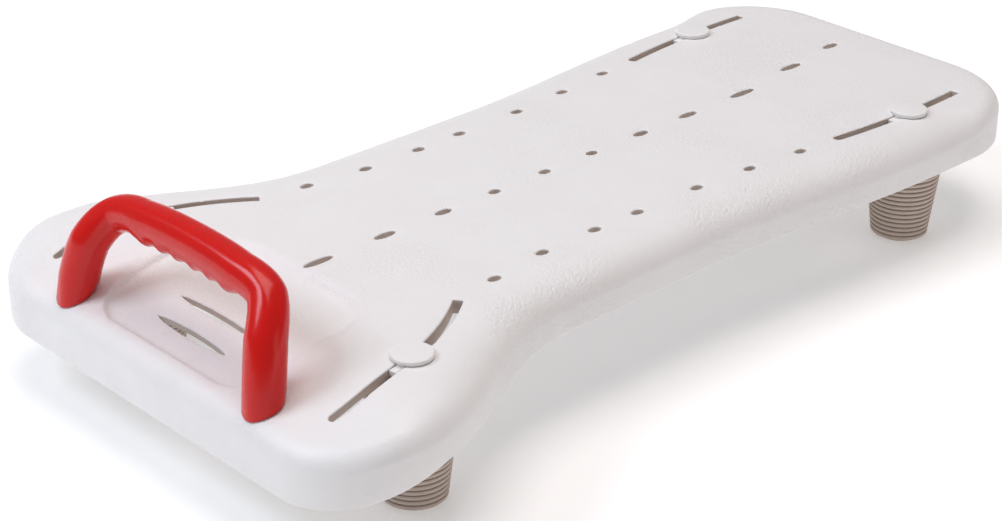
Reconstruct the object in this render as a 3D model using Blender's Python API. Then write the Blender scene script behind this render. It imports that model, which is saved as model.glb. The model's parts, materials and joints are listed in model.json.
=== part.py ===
"""Bath transfer bench.

A waisted seat board with a rolled edge stands across a bath on four rubber feet. Each foot is clamped
through a slot in the board by a cap above and a saddle below. Turning the foot loosens its clamp, and
the loose foot slides along its slot to suit the width of the bath. A grab handle stands at the wide end.

Units are metres, +Z is up, the floor is z = 0 and the origin is below the middle of the board.
"""

import math

import bmesh
import bpy
from mathutils import Vector

GAP = 0.0003

# Board: plan
BOARD_LENGTH = 0.706
WAIST_HALF_WIDTH = 0.1295
WIDE_HALF_WIDTH = 0.1926
NARROW_HALF_WIDTH = 0.1442
WIDE_FLARE = (-0.1094, -0.3109)
NARROW_FLARE = (-0.0133, 0.2644)
WIDE_CORNER_RADIUS = 0.0625
NARROW_CORNER_RADIUS = 0.074

# Board: section
SEAT_HEIGHT = 0.096
SKIRT_DEPTH = 0.0336
EDGE_ROLL_WIDTH = 0.0311
EDGE_ROLL_DEPTH = 0.0196
DECK_THICKNESS = 0.0045
SKIRT_THICKNESS = 0.0036

# Board: the wide end falls away towards its edge
FALL_START_X = -0.2626
FALL_BEND = 0.038
FALL_SLOPE = 0.311

# Openings through the deck: (x, y, length), and the width that they share
CENTRE_DRAINS = (
    (-0.2165, 0.0, 0.0236),
    (-0.1613, 0.0, 0.0174),
    (-0.1107, 0.0, 0.0136),
    (-0.0646, 0.0, 0.0096),
    (-0.0178, 0.0, 0.0098),
    (0.0276, 0.0, 0.0096),
    (0.0767, 0.0, 0.0136),
    (0.1255, 0.0, 0.0174),
    (0.1842, 0.0, 0.0250),
    (0.2493, 0.0089, 0.0220),
    (0.3044, 0.0161, 0.0160),
)
SIDE_DRAINS = (
    (-0.1510, 0.0923),
    (-0.1042, 0.0865),
    (-0.0565, 0.0861),
    (-0.0174, 0.0869),
    (0.0392, 0.0877),
    (0.0886, 0.0915),
    (0.1360, 0.0965),
)
SIDE_DRAIN_LENGTH = 0.0100
DRAIN_WIDTH = 0.0062

# Soap dish between the handle's legs
DISH_X = (-0.3385, -0.2300)
DISH_HALF_WIDTH = 0.080
DISH_CORNER_RADIUS = 0.028
DISH_DEPTH = 0.0045
DISH_DRAINS = ((-0.3160, 0.068, 0.0058), (-0.2965, 0.072, 0.0050))

# Foot slots: inner end, outer end, and how far the slot bows outwards between them
SLOT_WIDTH = 0.0065
WIDE_SLOT = ((-0.1878, 0.0989), (-0.3187, 0.1388), 0.0124)
NARROW_SLOT = ((0.1726, 0.0999), (0.3002, 0.1049), 0.0030)
RAIL_HALF_WIDTH = 0.008
RAIL_DEPTH = 0.010

# Where a foot stands along its slot at rest, as a share of the slot's length from its inner end
WIDE_REST = 0.531
NARROW_REST = 0.57

# Cap, stud, saddle
CAP_RADIUS = 0.0134
CAP_THICKNESS = 0.0032
KEY_HALF_WIDTH = 0.0029
KEY_REACH = 0.0190
KEY_NECK = 0.0065
STUD_RADIUS = 0.0028
STUD_HEAD_RADIUS = 0.0050
STUD_LENGTH = 0.056
SADDLE_THICKNESS = 0.0036
SADDLE_HALF_WIDTH = 0.0125
SADDLE_HALF_LENGTH = 0.0140

# Foot
FOOT_TOP_RADIUS = 0.0290
FOOT_SOLE_RADIUS = 0.0205
SLEEVE_THICKNESS = 0.0036
SOLE_THICKNESS = 0.0050
CORE_WALL = 0.0026
CORE_PLATE = 0.0040
CORE_POST_RADIUS = 0.0100
NUT_HALF_WIDTH = 0.0050
NUT_HEIGHT = 0.0052
NUT_DEPTH = 0.0260
FOOT_HEIGHT = SEAT_HEIGHT - RAIL_DEPTH - SADDLE_THICKNESS - 2 * GAP

# Handle: half of its centre line, from the base of a leg to the middle of the bar
HANDLE_LINE = (
    (-0.3350, 0.0950, 0.0790),
    (-0.3261, 0.0880, 0.1155),
    (-0.3129, 0.0739, 0.1348),
    (-0.3112, 0.0480, 0.1400),
    (-0.3102, 0.0000, 0.1420),
)
LEG_RADIUS = 0.0130
BAR_RADIUS = 0.0121
FINGER_PITCH = 0.0165
FINGER_DEPTH = 0.0014
GRIP_DEPTH = 0.0045
GRIP_HALF_LENGTH = 0.0560
INSERT_RADIUS = 0.0042
INSERT_LENGTH = 0.0160
INSERT_LIFT = 0.0050
SCREW_RADIUS = 0.0027
SCREW_HEAD_RADIUS = 0.0055
BOSS_RADIUS = 0.0140
BOSS_FLOOR_Z = 0.0560
WASHER_RADIUS = 0.0100
WASHER_THICKNESS = 0.0015


def clear_scene():
    for obj in list(bpy.data.objects):
        bpy.data.objects.remove(obj, do_unlink=True)


def make_material(name, colour, roughness, metallic=0.0):
    material = bpy.data.materials.new(name)
    material.use_nodes = True
    shader = material.node_tree.nodes["Principled BSDF"]
    shader.inputs["Base Color"].default_value = (*colour, 1.0)
    shader.inputs["Roughness"].default_value = roughness
    shader.inputs["Metallic"].default_value = metallic
    return material


def link_mesh(name, bm, material=None, location=(0.0, 0.0, 0.0), parent=None):
    """Turns a bmesh into an object whose faces point outwards."""
    bmesh.ops.recalc_face_normals(bm, faces=bm.faces)
    mesh = bpy.data.meshes.new(name)
    bm.to_mesh(mesh)
    bm.free()
    obj = bpy.data.objects.new(name, mesh)
    bpy.context.scene.collection.objects.link(obj)
    obj.location = location
    obj.parent = parent
    if material:
        mesh.materials.append(material)
        mesh.shade_smooth()
        mesh.set_sharp_from_angle(angle=math.radians(35))
    return obj


def boolean(target, tool, operation):
    """Cuts tool from target or joins it on. The tool's object stays as a hidden helper."""
    tool.hide_render = True
    tool.display_type = "WIRE"
    modifier = target.modifiers.new(tool.name, "BOOLEAN")
    modifier.operation = operation
    modifier.solver = "EXACT"
    modifier.object = tool


def bridge(bm, rings):
    """Joins each ring of vertices to the next with quads."""
    for first, second in zip(rings, rings[1:]):
        count = len(first)
        for i in range(count):
            j = (i + 1) % count
            bm.faces.new((first[i], first[j], second[j], second[i]))


def bend_with_seat(bm, height):
    """Splits a mesh where the seat bends, then gives each vertex the z that height finds for it."""
    for i in range(5):
        station = FALL_START_X - FALL_BEND * i / 4
        geometry = bm.verts[:] + bm.edges[:] + bm.faces[:]
        bmesh.ops.bisect_plane(bm, geom=geometry, dist=0.000001, plane_co=(station, 0, 0), plane_no=(1, 0, 0))
    for vert in bm.verts:
        vert.co.z = height(vert.co.x, vert.co.y, vert.co.z)


def add_stack(bm, loops, heights):
    """Adds a closed solid of plan outlines, stacked upwards. heights holds a function of x for each."""
    part = bmesh.new()
    rings = [[part.verts.new((x, y, i)) for x, y in loop] for i, loop in enumerate(loops)]
    bridge(part, rings)
    caps = [part.faces.new(rings[0][::-1]), part.faces.new(rings[-1])]
    bmesh.ops.triangulate(part, faces=caps)

    def height(x, y, place):
        lower = min(int(place), len(heights) - 2)
        low, high = heights[lower](x), heights[lower + 1](x)
        return low + (high - low) * (place - lower)

    bend_with_seat(part, height)
    mesh = bpy.data.meshes.new("stack")
    part.to_mesh(mesh)
    part.free()
    bm.from_mesh(mesh)
    bpy.data.meshes.remove(mesh)


def add_slab(bm, loop, top, bottom):
    """Adds a closed prism over a plan outline. top and bottom are functions of x."""
    add_stack(bm, [loop, loop], [bottom, top])


def add_turned(bm, profile, segments, centre=(0.0, 0.0)):
    """Adds a solid turned about the vertical line through centre. profile lists (radius, z), and starts
    and ends on the axis, or closes on itself where the solid is a ring."""
    closed_ring = profile[0][0] > 0.0
    rings = []
    for radius, z in profile:
        if radius == 0.0:
            rings.append([bm.verts.new((*centre, z))])
            continue
        ring = []
        for i in range(segments):
            angle = 2 * math.pi * i / segments
            x, y = centre[0] + radius * math.cos(angle), centre[1] + radius * math.sin(angle)
            ring.append(bm.verts.new((x, y, z)))
        rings.append(ring)
    pairs = list(zip(rings, rings[1:]))
    if closed_ring:
        pairs.append((rings[-1], rings[0]))
    for first, second in pairs:
        for i in range(segments):
            j = (i + 1) % segments
            corners = [first[i % len(first)], first[j % len(first)]]
            corners += [second[j % len(second)], second[i % len(second)]]
            bm.faces.new(list(dict.fromkeys(corners)))


def turned(name, profile, segments, material=None, location=(0.0, 0.0, 0.0), parent=None):
    bm = bmesh.new()
    add_turned(bm, profile, segments)
    return link_mesh(name, bm, material, location, parent)


def ellipse_loop(x, y, half_x, half_y, count):
    turns = [2 * math.pi * i / count for i in range(count)]
    return [(x + half_x * math.cos(t), y + half_y * math.sin(t)) for t in turns]


def lens_loop(x, half_length, half_width, count):
    """A pointed oval that lies across the board."""
    loop = []
    for i in range(count):
        t = 2 * math.pi * i / count
        loop.append((x + half_width * math.sin(t) * abs(math.sin(t)) ** 0.4, half_length * math.cos(t)))
    return loop


def rounded_rectangle(x_range, half_width, radius, steps):
    loop = []
    corners = (
        (x_range[1] - radius, half_width - radius, 0.0),
        (x_range[0] + radius, half_width - radius, 0.5 * math.pi),
        (x_range[0] + radius, radius - half_width, math.pi),
        (x_range[1] - radius, radius - half_width, 1.5 * math.pi),
    )
    for x, y, start in corners:
        for i in range(steps + 1):
            angle = start + 0.5 * math.pi * i / steps
            loop.append((x + radius * math.cos(angle), y + radius * math.sin(angle)))
    return loop


def ease(t):
    """Rises from 0 to 1 with level ends."""
    t = min(max(t, 0.0), 1.0)
    return t * t * t * (10 - 15 * t + 6 * t * t)


def half_width(x):
    wide = ease((x - WIDE_FLARE[0]) / (WIDE_FLARE[1] - WIDE_FLARE[0]))
    narrow = ease((x - NARROW_FLARE[0]) / (NARROW_FLARE[1] - NARROW_FLARE[0]))
    return (
        WAIST_HALF_WIDTH
        + (WIDE_HALF_WIDTH - WAIST_HALF_WIDTH) * wide
        + (NARROW_HALF_WIDTH - WAIST_HALF_WIDTH) * narrow
    )


def seat_z(x):
    """Height of the seat's upper surface: level, then a bend, then a straight fall at the wide end."""
    past = max(FALL_START_X - x, 0.0)
    if past < FALL_BEND:
        return SEAT_HEIGHT - FALL_SLOPE * past * past / (2 * FALL_BEND)
    return SEAT_HEIGHT - FALL_SLOPE * (past - FALL_BEND / 2)


def below_seat(depth):
    """A height function: the seat's surface, lowered by depth."""
    return lambda x: seat_z(x) - depth


def below_wide_edge(depth):
    """A height function: the surface at the middle of the wide end, rolled edge and all, lowered by depth."""

    def height(x):
        share = min(max(1 - (x + BOARD_LENGTH / 2) / EDGE_ROLL_WIDTH, 0.0), 1.0)
        return seat_z(x) - EDGE_ROLL_DEPTH * (1 - math.sqrt(1 - share * share)) - depth

    return height


def level(z):
    """A height function: one height everywhere."""
    return lambda x: z


def rail_bottom(x):
    """Level for as far as a foot travels, then at a fixed depth below the falling surface."""
    return min(SEAT_HEIGHT, seat_z(x) + 0.004) - RAIL_DEPTH


def board_outline():
    """The board's plan outline, clockwise from the middle of the wide end, as (point, outward normal)."""
    wide_x = -BOARD_LENGTH / 2
    narrow_x = BOARD_LENGTH / 2
    wide_y = half_width(wide_x + WIDE_CORNER_RADIUS) - WIDE_CORNER_RADIUS
    narrow_y = half_width(narrow_x - NARROW_CORNER_RADIUS) - NARROW_CORNER_RADIUS
    end_steps, corner_steps, side_steps = 4, 8, 24
    points = [(wide_x, wide_y * i / end_steps) for i in range(end_steps)]
    for i in range(corner_steps):
        angle = 0.5 * math.pi * i / corner_steps
        points.append((
            wide_x + WIDE_CORNER_RADIUS * (1 - math.cos(angle)),
            wide_y + WIDE_CORNER_RADIUS * math.sin(angle),
        ))
    side_start = wide_x + WIDE_CORNER_RADIUS
    side_run = narrow_x - NARROW_CORNER_RADIUS - side_start
    for i in range(side_steps):
        x = side_start + side_run * i / side_steps
        points.append((x, half_width(x)))
    for i in range(corner_steps):
        angle = 0.5 * math.pi * i / corner_steps
        points.append((
            narrow_x - NARROW_CORNER_RADIUS * (1 - math.sin(angle)),
            narrow_y + NARROW_CORNER_RADIUS * math.cos(angle),
        ))
    points += [(narrow_x, narrow_y * (1 - i / end_steps)) for i in range(end_steps + 1)]
    points += [(x, -y) for x, y in points[-2:0:-1]]
    outline = []
    for i, point in enumerate(points):
        before, after = Vector(points[i - 1]), Vector(points[(i + 1) % len(points)])
        along = (after - before).normalized()
        outline.append((Vector(point), Vector((-along.y, along.x))))
    return outline


def edge_ring(bm, outline, inset, depth):
    """A ring of vertices along the outline, moved inwards and lowered from the seat's surface."""
    ring = []
    for point, normal in outline:
        place = point - normal * inset
        ring.append(bm.verts.new((place.x, place.y, -depth)))
    return ring


def deck_rings(bm, outline, inset, depth, shares):
    """Rings that shrink from the outline to a spine along the middle of the board."""
    spine = (-BOARD_LENGTH / 2 + 0.16, BOARD_LENGTH / 2 - 0.14)
    rings = []
    for share in shares:
        ring = []
        for point, normal in outline:
            edge = point - normal * inset
            middle = Vector((min(max(edge.x, spine[0]), spine[1]), 0.0))
            place = middle.lerp(edge, share)
            ring.append(bm.verts.new((place.x, place.y, -depth)))
        rings.append(ring)
    return rings


def board_shell():
    """The hollow shell: deck, rolled edge and skirt, open below."""
    outline = board_outline()
    bm = bmesh.new()
    rings = deck_rings(bm, outline, EDGE_ROLL_WIDTH, 0.0, (0.0, 0.45, 0.72, 0.88, 1.0))
    roll_steps = 5
    for i in range(1, roll_steps + 1):
        angle = 0.5 * math.pi * i / roll_steps
        inset = EDGE_ROLL_WIDTH * (1 - math.sin(angle))
        rings.append(edge_ring(bm, outline, inset, EDGE_ROLL_DEPTH * (1 - math.cos(angle))))
    rings.append(edge_ring(bm, outline, 0.0, SKIRT_DEPTH))
    rings.append(edge_ring(bm, outline, SKIRT_THICKNESS, SKIRT_DEPTH))
    inner_width = EDGE_ROLL_WIDTH - SKIRT_THICKNESS
    inner_depth = EDGE_ROLL_DEPTH - DECK_THICKNESS
    inner_steps = 3
    for i in range(inner_steps, 0, -1):
        angle = 0.5 * math.pi * i / inner_steps
        inset = SKIRT_THICKNESS + inner_width * (1 - math.sin(angle))
        rings.append(edge_ring(bm, outline, inset, DECK_THICKNESS + inner_depth * (1 - math.cos(angle))))
    rings += deck_rings(bm, outline, EDGE_ROLL_WIDTH, DECK_THICKNESS, (1.0, 0.8, 0.5, 0.0))
    bridge(bm, rings)
    bmesh.ops.remove_doubles(bm, verts=bm.verts, dist=0.00001)
    bend_with_seat(bm, lambda x, y, z: seat_z(x) + z)
    return bm


class SlotArc:
    """The arc that a slot's centre line follows. side is 1 for +Y and -1 for -Y."""

    def __init__(self, slot, side):
        (inner_x, inner_y), (outer_x, outer_y), bow = slot
        inner = Vector((inner_x, side * inner_y))
        outer = Vector((outer_x, side * outer_y))
        chord = (outer - inner).length
        self.radius = chord * chord / (8 * bow) + bow / 2
        outward = Vector((-(outer - inner).y, (outer - inner).x)).normalized()
        if outward.y * side < 0:
            outward = -outward
        self.centre = (inner + outer) / 2 - outward * (self.radius - bow)
        self.inner = math.atan2(inner.y - self.centre.y, inner.x - self.centre.x)
        self.outer = math.atan2(outer.y - self.centre.y, outer.x - self.centre.x)
        self.direction = 1 if self.outer > self.inner else -1

    def point(self, angle, offset=0.0):
        radius = self.radius + offset
        return (self.centre.x + radius * math.cos(angle), self.centre.y + radius * math.sin(angle))

    def angle_at(self, share):
        return self.inner + (self.outer - self.inner) * share

    def strip(self, start, end, half, steps, round_start=False, round_end=False):
        """The plan outline of a curved strip between two angles."""
        loop = [self.point(start + (end - start) * i / steps, half) for i in range(steps + 1)]
        if round_end:
            loop += self.round_cap(end, half, 1)
        loop += [self.point(end + (start - end) * i / steps, -half) for i in range(steps + 1)]
        if round_start:
            loop += self.round_cap(start, half, -1)[::-1]
        return loop

    def round_cap(self, angle, half, sense):
        """Points round the end of a strip, from its outer side to its inner side."""
        points = []
        for i in range(1, 6):
            turn = math.pi * i / 6
            reach = sense * self.direction * half * math.sin(turn) / self.radius
            points.append(self.point(angle + reach, half * math.cos(turn)))
        return points

    def reach(self, distance):
        """The angle, towards the outer end, of a distance along the arc."""
        return self.direction * distance / self.radius


def board_ribs():
    """Stiffening ribs below the deck, as two helpers: those along the board and those across it."""
    rib_half = 0.0012
    along = bmesh.new()
    for y in (-0.052, 0.052):
        stations = [-0.205 + 0.41 * i / 6 for i in range(7)]
        loop = [(x, y - rib_half) for x in stations] + [(x, y + rib_half) for x in stations[::-1]]
        add_slab(along, loop, below_seat(0.0022), level(SEAT_HEIGHT - 0.022))
    across = bmesh.new()
    for x in (-0.188, -0.135, -0.084, -0.040, 0.005, 0.054, 0.102, 0.154, 0.214):
        reach = half_width(x) - 0.022 if abs(x) < 0.16 else 0.067
        loop = [(x - rib_half, -reach), (x + rib_half, -reach), (x + rib_half, reach), (x - rib_half, reach)]
        add_slab(across, loop, below_seat(0.0024), level(SEAT_HEIGHT - 0.020))
    return link_mesh("ribs_along", along), link_mesh("ribs_across", across)


def board_fittings(arcs):
    """What stands below the deck: slot rails, handle bosses and the soap dish's floor."""
    rails = bmesh.new()
    for arc in arcs.values():
        start = arc.inner - arc.reach(0.008)
        end = arc.outer + arc.reach(0.006)
        loop = arc.strip(start, end, RAIL_HALF_WIDTH, 12, True, True)
        add_slab(rails, loop, below_seat(0.0020), rail_bottom)
    bosses = bmesh.new()
    base_x, base_y, _ = HANDLE_LINE[0]
    for side in (-1, 1):
        loop = ellipse_loop(base_x, side * base_y, BOSS_RADIUS, BOSS_RADIUS, 20)
        add_slab(bosses, loop, below_wide_edge(0.0010), level(BOSS_FLOOR_Z))
    dish = bmesh.new()
    x_range = (DISH_X[0] + 0.003, DISH_X[1] - 0.001)
    loop = rounded_rectangle(x_range, DISH_HALF_WIDTH - 0.002, DISH_CORNER_RADIUS, 5)
    add_slab(dish, loop, below_seat(0.0023), below_seat(DISH_DEPTH + DECK_THICKNESS))
    return link_mesh("slot_rails", rails), link_mesh("handle_bosses", bosses), link_mesh("dish_floor", dish)


def dish_cutter():
    """The hollow of the soap dish, with sloping sides."""
    bm = bmesh.new()
    slope = 0.005
    mouth = rounded_rectangle(DISH_X, DISH_HALF_WIDTH, DISH_CORNER_RADIUS, 5)
    floor = rounded_rectangle(
        (DISH_X[0] + slope, DISH_X[1] - slope), DISH_HALF_WIDTH - slope, DISH_CORNER_RADIUS - slope, 5
    )
    add_stack(bm, [floor, mouth, mouth], [below_seat(DISH_DEPTH), below_seat(0.0), below_seat(-0.004)])
    return link_mesh("dish_hollow", bm)


def opening_cutters(arcs):
    """Everything that goes right through the deck."""
    bm = bmesh.new()
    above, below = below_seat(-0.003), below_seat(0.032)
    for x, y, length in CENTRE_DRAINS:
        add_slab(bm, ellipse_loop(x, y, length / 2, DRAIN_WIDTH / 2, 12), above, below)
    for x, y in SIDE_DRAINS:
        for side in (-1, 1):
            add_slab(bm, ellipse_loop(x, side * y, SIDE_DRAIN_LENGTH / 2, DRAIN_WIDTH / 2, 10), above, below)
    for x, length, width in DISH_DRAINS:
        add_slab(bm, lens_loop(x, length / 2, width / 2, 16), above, below)
    for (end, _), arc in arcs.items():
        wide = end == "wide"
        loop = arc.strip(arc.inner, arc.outer, SLOT_WIDTH / 2, 12, not wide, wide)
        add_slab(bm, loop, above, below)
    return link_mesh("deck_openings", bm)


def screw_holes():
    """A bore for each handle screw."""
    bm = bmesh.new()
    base_x, base_y, base_z = HANDLE_LINE[0]
    bore = SCREW_RADIUS + GAP
    low, high = BOSS_FLOOR_Z - 0.01, base_z + 0.03
    profile = [(0.0, high), (bore, high), (bore, low), (0.0, low)]
    for side in (-1, 1):
        add_turned(bm, profile, 16, (base_x, side * base_y))
    return link_mesh("screw_bores", bm)


def make_board(arcs, material):
    board = link_mesh("seat_board", board_shell(), material)
    for rib in board_ribs():
        boolean(board, rib, "UNION")
    for fitting in board_fittings(arcs):
        boolean(board, fitting, "UNION")
    for cutter in (dish_cutter(), opening_cutters(arcs), screw_holes()):
        boolean(board, cutter, "DIFFERENCE")
    return board


def handle_points(steps):
    """Points along the handle's whole centre line, on a smooth curve through HANDLE_LINE."""
    half = [Vector(p) for p in HANDLE_LINE]
    knots = half + [Vector((p.x, -p.y, p.z)) for p in half[-2::-1]]
    knots = [knots[0] * 2 - knots[1]] + knots + [knots[-1] * 2 - knots[-2]]
    points = []
    for a, b, c, d in zip(knots, knots[1:], knots[2:], knots[3:]):
        for i in range(steps):
            t = i / steps
            square = 2 * a - 5 * b + 4 * c - d
            cube = 3 * b - a - 3 * c + d
            points.append(b + 0.5 * ((c - a) * t + square * t * t + cube * t ** 3))
    return points + [knots[-2]]


def grip_depth(y):
    """How far the grip reaches below the round bar at a place along it, less its finger hollows."""
    swell = GRIP_DEPTH * ease((GRIP_HALF_LENGTH - abs(y)) / 0.016)
    if abs(y) > 2.5 * FINGER_PITCH:
        return swell
    return swell - FINGER_DEPTH * (0.5 + 0.5 * math.cos(2 * math.pi * y / FINGER_PITCH))


def leg_base(ring, centre):
    """Rings from the outside of a leg's base to near its middle, all just clear of the board below."""
    height = below_wide_edge(-1.4 * GAP)
    base = []
    for share in (1.0, 0.8, 0.6, 0.4, 0.15):
        places = [centre.lerp(place, share) for place in ring]
        base.append([Vector((place.x, place.y, height(place.x))) for place in places])
    return base


def make_handle(material):
    """The grip: one bent bar whose legs stand on the board, with finger hollows below the bar."""
    bm = bmesh.new()
    points = handle_points(5)
    sides = 20
    rings = []
    for i, point in enumerate(points):
        along = (points[min(i + 1, len(points) - 1)] - points[max(i - 1, 0)]).normalized()
        if i in (0, len(points) - 1):
            along = Vector((0.0, 0.0, 1.0 if i == 0 else -1.0))
        front = Vector((1.0, 0.0, 0.0))
        front = (front - along * front.dot(along)).normalized()
        inward = front.cross(along)
        bar_share = ease((point.z - 0.105) / 0.030)
        radius = LEG_RADIUS + (BAR_RADIUS - LEG_RADIUS) * bar_share
        ring = []
        for k in range(sides):
            turn = 2 * math.pi * k / sides
            under = max(math.sin(turn), 0.0) ** 2 * bar_share
            reach = radius + grip_depth(point.y) * under
            ring.append(point + (front * math.cos(turn) + inward * math.sin(turn)) * reach)
        rings.append(ring)
    rings = leg_base(rings[0], points[0])[::-1] + rings[2:-2] + leg_base(rings[-1], points[-1])
    vert_rings = [[bm.verts.new(place) for place in ring] for ring in rings]
    bridge(bm, vert_rings)
    bm.faces.new(vert_rings[0])
    bm.faces.new(vert_rings[-1][::-1])
    handle = link_mesh("grab_handle", bm, material)
    sockets = bmesh.new()
    base_x, base_y, base_z = HANDLE_LINE[0]
    socket = INSERT_RADIUS + GAP
    low, high = base_z - 0.01, base_z + INSERT_LIFT + INSERT_LENGTH + GAP
    profile = [(0.0, high), (socket, high), (socket, low), (0.0, low)]
    for side in (-1, 1):
        add_turned(sockets, profile, 16, (base_x, side * base_y))
    boolean(handle, link_mesh("insert_sockets", sockets), "DIFFERENCE")
    return handle


def make_handle_fixings(materials):
    """An insert inside each leg, and the screw and washer that pull the leg down from below."""
    base_x, base_y, base_z = HANDLE_LINE[0]
    bore = SCREW_RADIUS + GAP
    low, high = base_z + INSERT_LIFT, base_z + INSERT_LIFT + INSERT_LENGTH
    insert = [(bore, high), (INSERT_RADIUS, high), (INSERT_RADIUS, low), (bore, low)]
    seat = BOSS_FLOOR_Z - GAP
    under = seat - WASHER_THICKNESS
    washer = [(bore, seat), (WASHER_RADIUS, seat), (WASHER_RADIUS, under), (bore, under)]
    head = under - GAP
    screw = [
        (0.0, high - 0.002),
        (SCREW_RADIUS, high - 0.002),
        (SCREW_RADIUS, head),
        (SCREW_HEAD_RADIUS, head),
        (SCREW_HEAD_RADIUS * 0.8, head - 0.0030),
        (0.0, head - 0.0034),
    ]
    for side, label in ((1, "left"), (-1, "right")):
        place = (base_x, side * base_y, 0.0)
        turned(f"handle_insert_{label}", insert, 16, materials["brass"], place)
        turned(f"handle_washer_{label}", washer, 20, materials["steel"], place)
        turned(f"handle_screw_{label}", screw, 16, materials["steel"], place)


def strip_slab(bm, arc, middle, span, halves, z_range, steps=4):
    """Adds a curved bar along an arc: span is its two ends, measured along the arc from middle, and
    halves its two sides, measured from the slot's centre line."""
    start, end = (middle + arc.reach(s) for s in span)
    loop = [arc.point(start + (end - start) * i / steps, halves[1]) for i in range(steps + 1)]
    loop += [arc.point(end + (start - end) * i / steps, halves[0]) for i in range(steps + 1)]
    add_slab(bm, loop, level(z_range[1]), level(z_range[0]))


def centred(arc, middle, bm):
    """Moves a bmesh so that the place of the foot becomes its origin."""
    x, y = arc.point(middle)
    bmesh.ops.translate(bm, verts=bm.verts, vec=(-x, -y, -SEAT_HEIGHT))
    return bm


def make_cap(label, arc, middle, anchor, material):
    """The clamp's cap: a flat disc on the seat, with a key at each side that fills the slot's width."""
    low, high = GAP, GAP + CAP_THICKNESS
    socket = STUD_HEAD_RADIUS + GAP
    profile = [
        (0.0, high),
        (CAP_RADIUS * 0.55, high - 0.0001),
        (CAP_RADIUS * 0.86, high - 0.0005),
        (CAP_RADIUS - 0.0004, high - 0.0014),
        (CAP_RADIUS, high - 0.0022),
        (CAP_RADIUS - 0.0003, low),
        (socket, low),
        (socket, low + 0.0019),
        (0.0, low + 0.0019),
    ]
    cap = turned(f"clamp_cap_{label}", profile, 28, material, parent=anchor)
    keys = bmesh.new()
    for side in (-1, 1):
        tongue = sorted((side * KEY_NECK, side * KEY_REACH))
        neck = sorted((side * KEY_NECK * 1.01, side * (CAP_RADIUS - 0.0012)))
        halves = (-KEY_HALF_WIDTH, KEY_HALF_WIDTH)
        strip_slab(keys, arc, middle, tongue, halves, (SEAT_HEIGHT - 0.0052, SEAT_HEIGHT - 0.0010))
        halves = (-KEY_HALF_WIDTH + 0.0002, KEY_HALF_WIDTH - 0.0002)
        strip_slab(keys, arc, middle, neck, halves, (SEAT_HEIGHT - 0.0030, SEAT_HEIGHT + 0.0012))
    boolean(cap, link_mesh(f"cap_keys_{label}", centred(arc, middle, keys), parent=anchor), "UNION")
    cap.modifiers[-1].use_self = True
    return cap


def make_stud(label, anchor, material):
    head = GAP + 0.0016
    profile = [
        (0.0, head),
        (STUD_HEAD_RADIUS, head),
        (STUD_HEAD_RADIUS, head - 0.0013),
        (STUD_RADIUS, head - 0.0013),
        (STUD_RADIUS, 0.0008 - STUD_LENGTH),
        (STUD_RADIUS - 0.0008, -STUD_LENGTH),
        (0.0, -STUD_LENGTH),
    ]
    return turned(f"clamp_stud_{label}", profile, 16, material, parent=anchor)


def make_saddle(label, arc, middle, anchor, material):
    """The saddle below the board: a plate whose two cheeks straddle the slot's rail and keep it in line."""
    top = SEAT_HEIGHT - RAIL_DEPTH - GAP
    bm = bmesh.new()
    span = (-SADDLE_HALF_LENGTH, SADDLE_HALF_LENGTH)
    section = (
        (-SADDLE_HALF_WIDTH, top - SADDLE_THICKNESS),
        (SADDLE_HALF_WIDTH, top - SADDLE_THICKNESS),
        (SADDLE_HALF_WIDTH, top + 0.0022),
        (RAIL_HALF_WIDTH + 0.0005, top + 0.0022),
        (RAIL_HALF_WIDTH + 0.0005, top),
        (-RAIL_HALF_WIDTH - 0.0005, top),
        (-RAIL_HALF_WIDTH - 0.0005, top + 0.0022),
        (-SADDLE_HALF_WIDTH, top + 0.0022),
    )
    rings = []
    for i in range(5):
        angle = middle + arc.reach(span[0] + (span[1] - span[0]) * i / 4)
        rings.append([bm.verts.new((*arc.point(angle, offset), z)) for offset, z in section])
    bridge(bm, rings)
    bm.faces.new(rings[0][::-1])
    bm.faces.new(rings[-1])
    saddle = link_mesh(f"clamp_saddle_{label}", centred(arc, middle, bm), material, parent=anchor)
    bore = STUD_RADIUS + GAP
    profile = [(0.0, 0.0), (bore, 0.0), (bore, -0.03), (0.0, -0.03)]
    boolean(saddle, turned(f"saddle_bore_{label}", profile, 16, parent=anchor), "DIFFERENCE")
    return saddle


def foot_radius(z):
    """Outer radius of a foot at a height above the floor."""
    return FOOT_SOLE_RADIUS + (FOOT_TOP_RADIUS - FOOT_SOLE_RADIUS) * z / FOOT_HEIGHT


def make_sleeve(label, anchor, material):
    floor = -SEAT_HEIGHT
    rim = floor + FOOT_HEIGHT - CORE_PLATE
    profile = [
        (0.0, floor + SOLE_THICKNESS),
        (foot_radius(SOLE_THICKNESS) - SLEEVE_THICKNESS, floor + SOLE_THICKNESS),
        (FOOT_TOP_RADIUS - SLEEVE_THICKNESS, rim),
        (FOOT_TOP_RADIUS, rim),
        (FOOT_SOLE_RADIUS + 0.0004, floor + 0.0040),
        (FOOT_SOLE_RADIUS - 0.0010, floor + 0.0012),
        (FOOT_SOLE_RADIUS - 0.0032, floor),
        (0.0, floor),
    ]
    turned(f"foot_sleeve_{label}", profile, 24, material, parent=anchor)


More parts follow.
